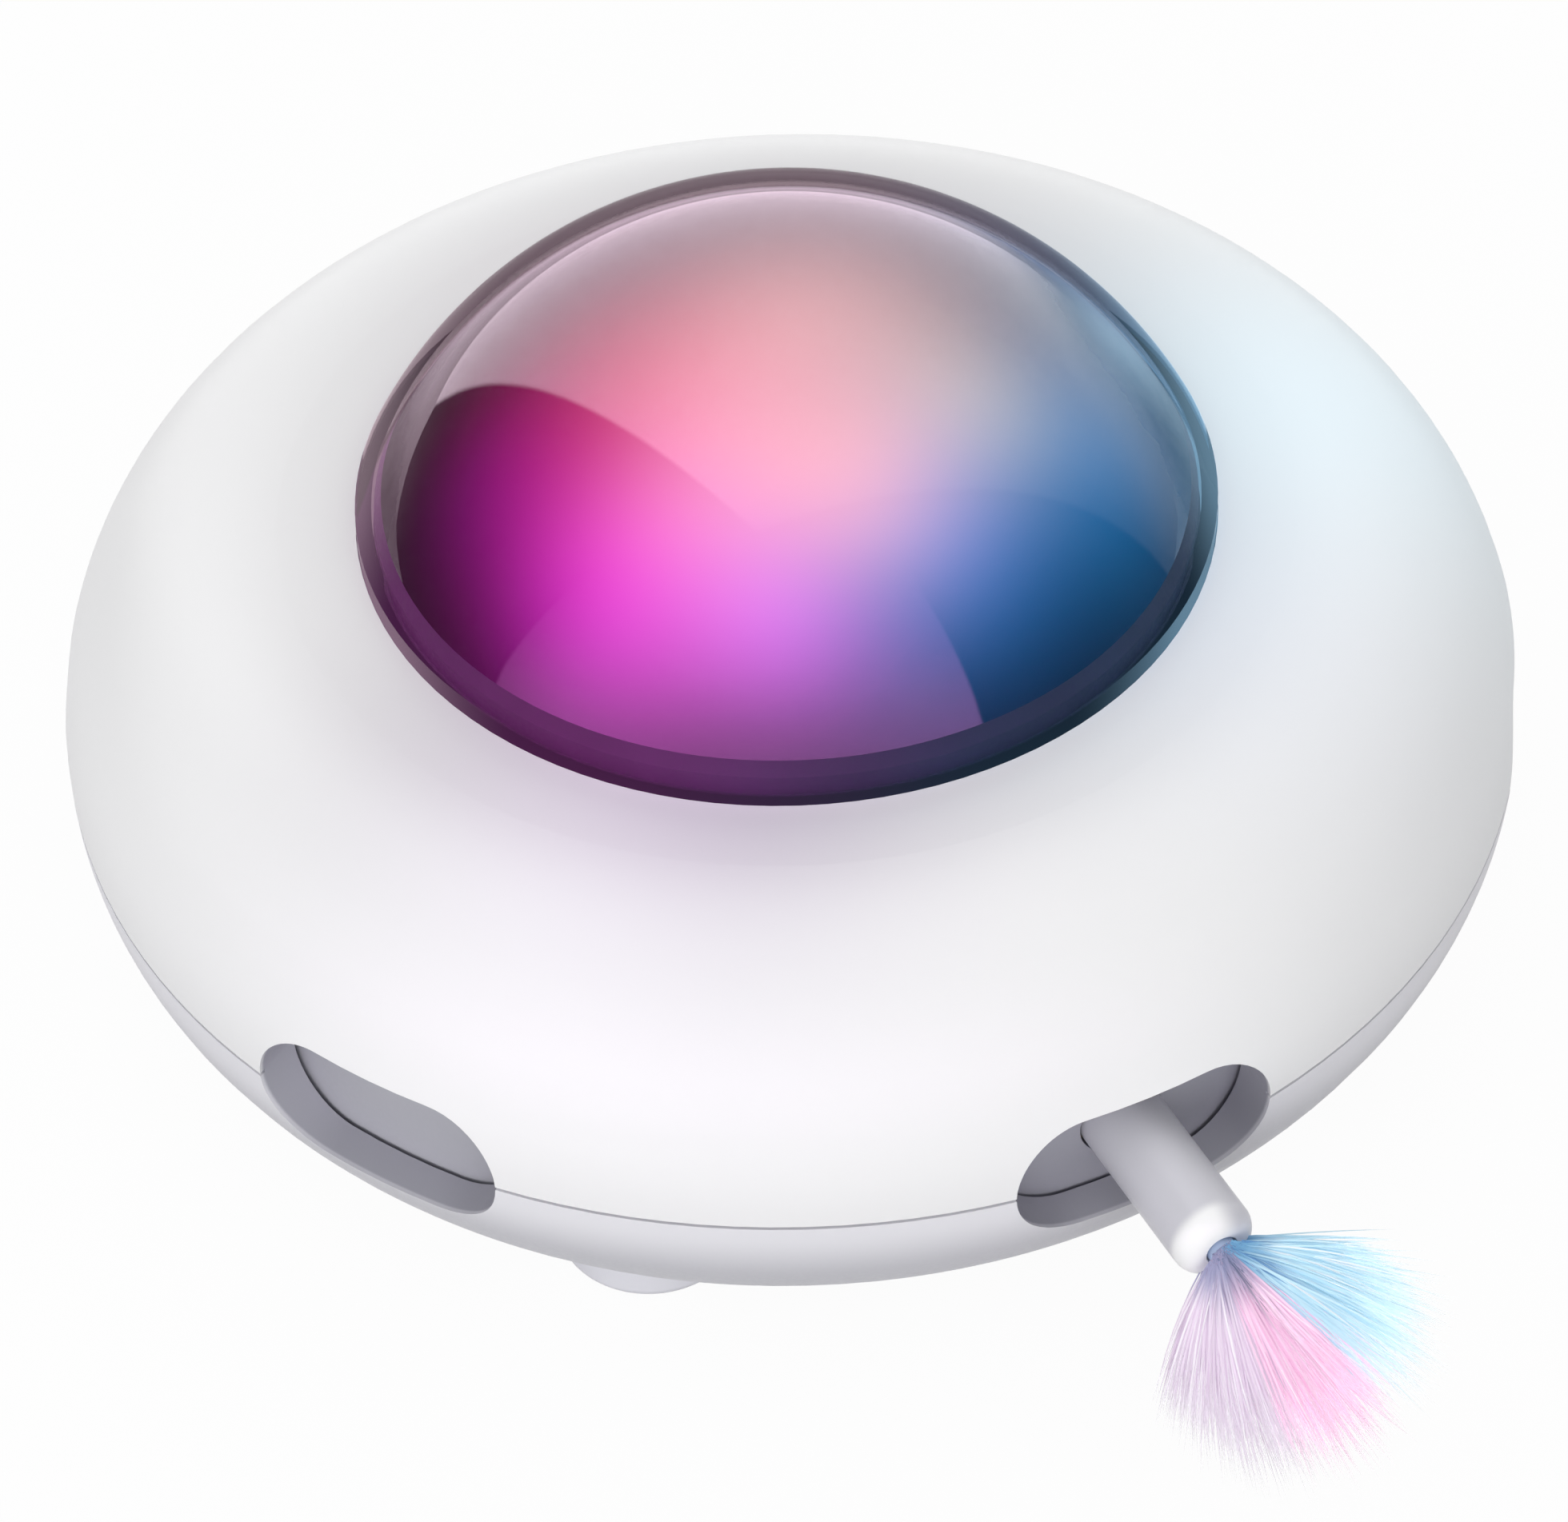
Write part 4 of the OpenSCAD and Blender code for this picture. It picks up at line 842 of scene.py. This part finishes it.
def barb_faces(count):
    """Faces of count barbs: walls between the rings, a cone at the tip, and one that closes the foot."""
    first = np.arange(count)[:, None, None] * BARB_POINTS
    here = np.arange(BARB_SIDES)
    beside = (here + 1) % BARB_SIDES
    row = np.arange(BARB_RINGS - 1)[:, None] * BARB_SIDES
    wall = np.stack([row + here, row + beside, row + BARB_SIDES + beside, row + BARB_SIDES + here], axis=-1)
    last = (BARB_RINGS - 1) * BARB_SIDES
    cone = np.stack([last + here, last + beside, np.full(BARB_SIDES, BARB_POINTS - 1)], axis=-1)
    foot = here[::-1][None, :]
    quads = (first + wall.reshape(1, -1, 4)).reshape(-1, 4)
    triangles = (first + np.concatenate([cone, foot])[None]).reshape(-1, 3)
    return quads.tolist() + triangles.tolist()


def put_attribute(mesh, name, values):
    """One number per corner point, kept on the mesh."""
    mesh.attributes.new(name, "FLOAT", "POINT").data.foreach_set("value", values.astype(np.float32))


def plume_mesh(name, count, seed, **form):
    """Mesh of count barbs, with each point's share of its barb's length and a random number per barb."""
    rng = np.random.default_rng(seed)
    points = barb_points(rng, *barb_paths(rng, count, **form))
    mesh = bpy.data.meshes.new(name)
    mesh.from_pydata(points.reshape(-1, 3).tolist(), [], barb_faces(count))
    along = np.append(np.repeat(BARB_SHARES[:-1], BARB_SIDES), 1.0)
    put_attribute(mesh, "along", np.tile(along, count))
    put_attribute(mesh, "strand", np.repeat(rng.uniform(0.0, 1.0, count), BARB_POINTS))
    return mesh


def feather_tuft():
    """The three plumes, riding on the wand in place of their plain solids."""
    for plume, form in PLUMES.items():
        mesh = plume_mesh(plume + "_strands", **form)
        mesh.materials.append(feather_barbs(plume + "_barbs", *PLUME_COLOURS[plume]))
        piece = bpy.data.objects.new(plume + "_strands", mesh)
        bpy.context.scene.collection.objects.link(piece)
        piece.visible_shadow = False
        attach(piece, "wand")
        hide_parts(plume)
        tuple(nose_middle())
        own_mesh(piece)


feather_tuft()


# Studio and camera


def floor_white():
    """Matt floor that shows mostly plain white to the eye, gloss and glass, and keeps a soft shadow."""
    material, tree, shader = new_material("floor_white")
    tree.nodes.remove(shader)
    rays = add(tree, "ShaderNodeLightPath").outputs
    mirrored = math_node(tree, "MAXIMUM", rays["Is Glossy Ray"], rays["Is Transmission Ray"])
    seen = math_node(tree, "MAXIMUM", rays["Is Camera Ray"], mirrored)
    share = math_node(tree, "MULTIPLY", seen, FLOOR_WHITE)
    colour = mix_colours(tree, rays["Is Diffuse Ray"], rgba(FLOOR_SEEN), rgba(FLOOR_BOUNCE))
    matt = add(tree, "ShaderNodeBsdfDiffuse", {"Color": colour})
    white = add(tree, "ShaderNodeEmission", {"Color": rgba(WHITE), "Strength": 1.0})
    both = add(tree, "ShaderNodeMixShader", {0: share, 1: matt.outputs[0], 2: white.outputs[0]})
    tree.links.new(both.outputs[0], tree.nodes["Material Output"].inputs["Surface"])
    return material


def studio_floor():
    """Square floor under the toy."""
    half = FLOOR_SIDE / 2
    corners = half * np.array([[-1.0, -1.0, 0.0], [1.0, -1.0, 0.0], [1.0, 1.0, 0.0], [-1.0, 1.0, 0.0]])
    mesh = bpy.data.meshes.new("floor")
    mesh.from_pydata((corners - FLOOR_DROP * UP).tolist(), [], [[0, 1, 2, 3]])
    mesh.materials.append(floor_white())
    floor = bpy.data.objects.new("floor", mesh)
    bpy.context.scene.collection.objects.link(floor)


def panel_mask(tree, direction, edges):
    """One inside all the planes through the toy that edge a light panel, and zero outside."""
    mask = 1.0
    for normal in edges:
        side = vector_node(tree, "DOT_PRODUCT", direction, normal)["Value"]
        mask = math_node(tree, "MULTIPLY", ramp(tree, side, -PANEL_SOFTNESS, PANEL_SOFTNESS), mask)
    return mask


def studio_light():
    """World with soft panels that light matt surfaces, and two panels that gloss and glass mirror."""
    world = bpy.data.worlds.new("studio")
    bpy.context.scene.world = world
    world.use_nodes = True
    tree = world.node_tree
    direction = add(tree, "ShaderNodeTexCoord").outputs["Generated"]
    rays = add(tree, "ShaderNodeLightPath").outputs
    mirrored = math_node(tree, "MAXIMUM", rays["Is Glossy Ray"], rays["Is Transmission Ray"])
    lit = mix_colours(tree, mirrored, rgba(BLACK), grey(MIRROR_FILL))
    for name, edges in PANEL_EDGES.items():
        matt_colour = grey(MATT_LIGHT.get(name, 0.0))
        mirror_colour = rgba(MIRROR_LIGHT.get(name, BLACK))
        colour = mix_colours(tree, mirrored, matt_colour, mirror_colour)
        mask = panel_mask(tree, direction, edges)
        if name in PANEL_FADES:
            way, start, full = PANEL_FADES[name]
            along = vector_node(tree, "DOT_PRODUCT", direction, way)["Value"]
            mask = math_node(tree, "MULTIPLY", mask, ramp(tree, along, start, full))
        lit = added(tree, lit, scaled(tree, colour, mask))
    shown = mix_colours(tree, rays["Is Camera Ray"], lit, rgba(WHITE))
    tree.links.new(shown, tree.nodes["Background"].inputs["Color"])


def photo_camera():
    """Camera where the photograph was taken, turned about its line of sight by the roll."""
    forward = CAMERA_AIM - CAMERA_AT
    forward /= np.linalg.norm(forward)
    right = np.cross(forward, UP)
    right /= np.linalg.norm(right)
    above = np.cross(right, forward)
    turned = math.cos(CAMERA_ROLL) * right + math.sin(CAMERA_ROLL) * above
    raised = math.cos(CAMERA_ROLL) * above - math.sin(CAMERA_ROLL) * right
    data = bpy.data.cameras.new("photo_camera")
    data.sensor_fit = "HORIZONTAL"
    data.sensor_width = CAMERA_SENSOR
    data.lens = CAMERA_LENS
    data.clip_start = CAMERA_NEAR
    camera = bpy.data.objects.new("photo_camera", data)
    bpy.context.scene.collection.objects.link(camera)
    place = np.eye(4)
    place[:3] = np.column_stack([turned, raised, -forward, CAMERA_AT])
    camera.matrix_world = Matrix(place.tolist())
    bpy.context.scene.camera = camera


studio_floor()
studio_light()
photo_camera()
bpy.context.scene.view_settings.view_transform = "Standard"
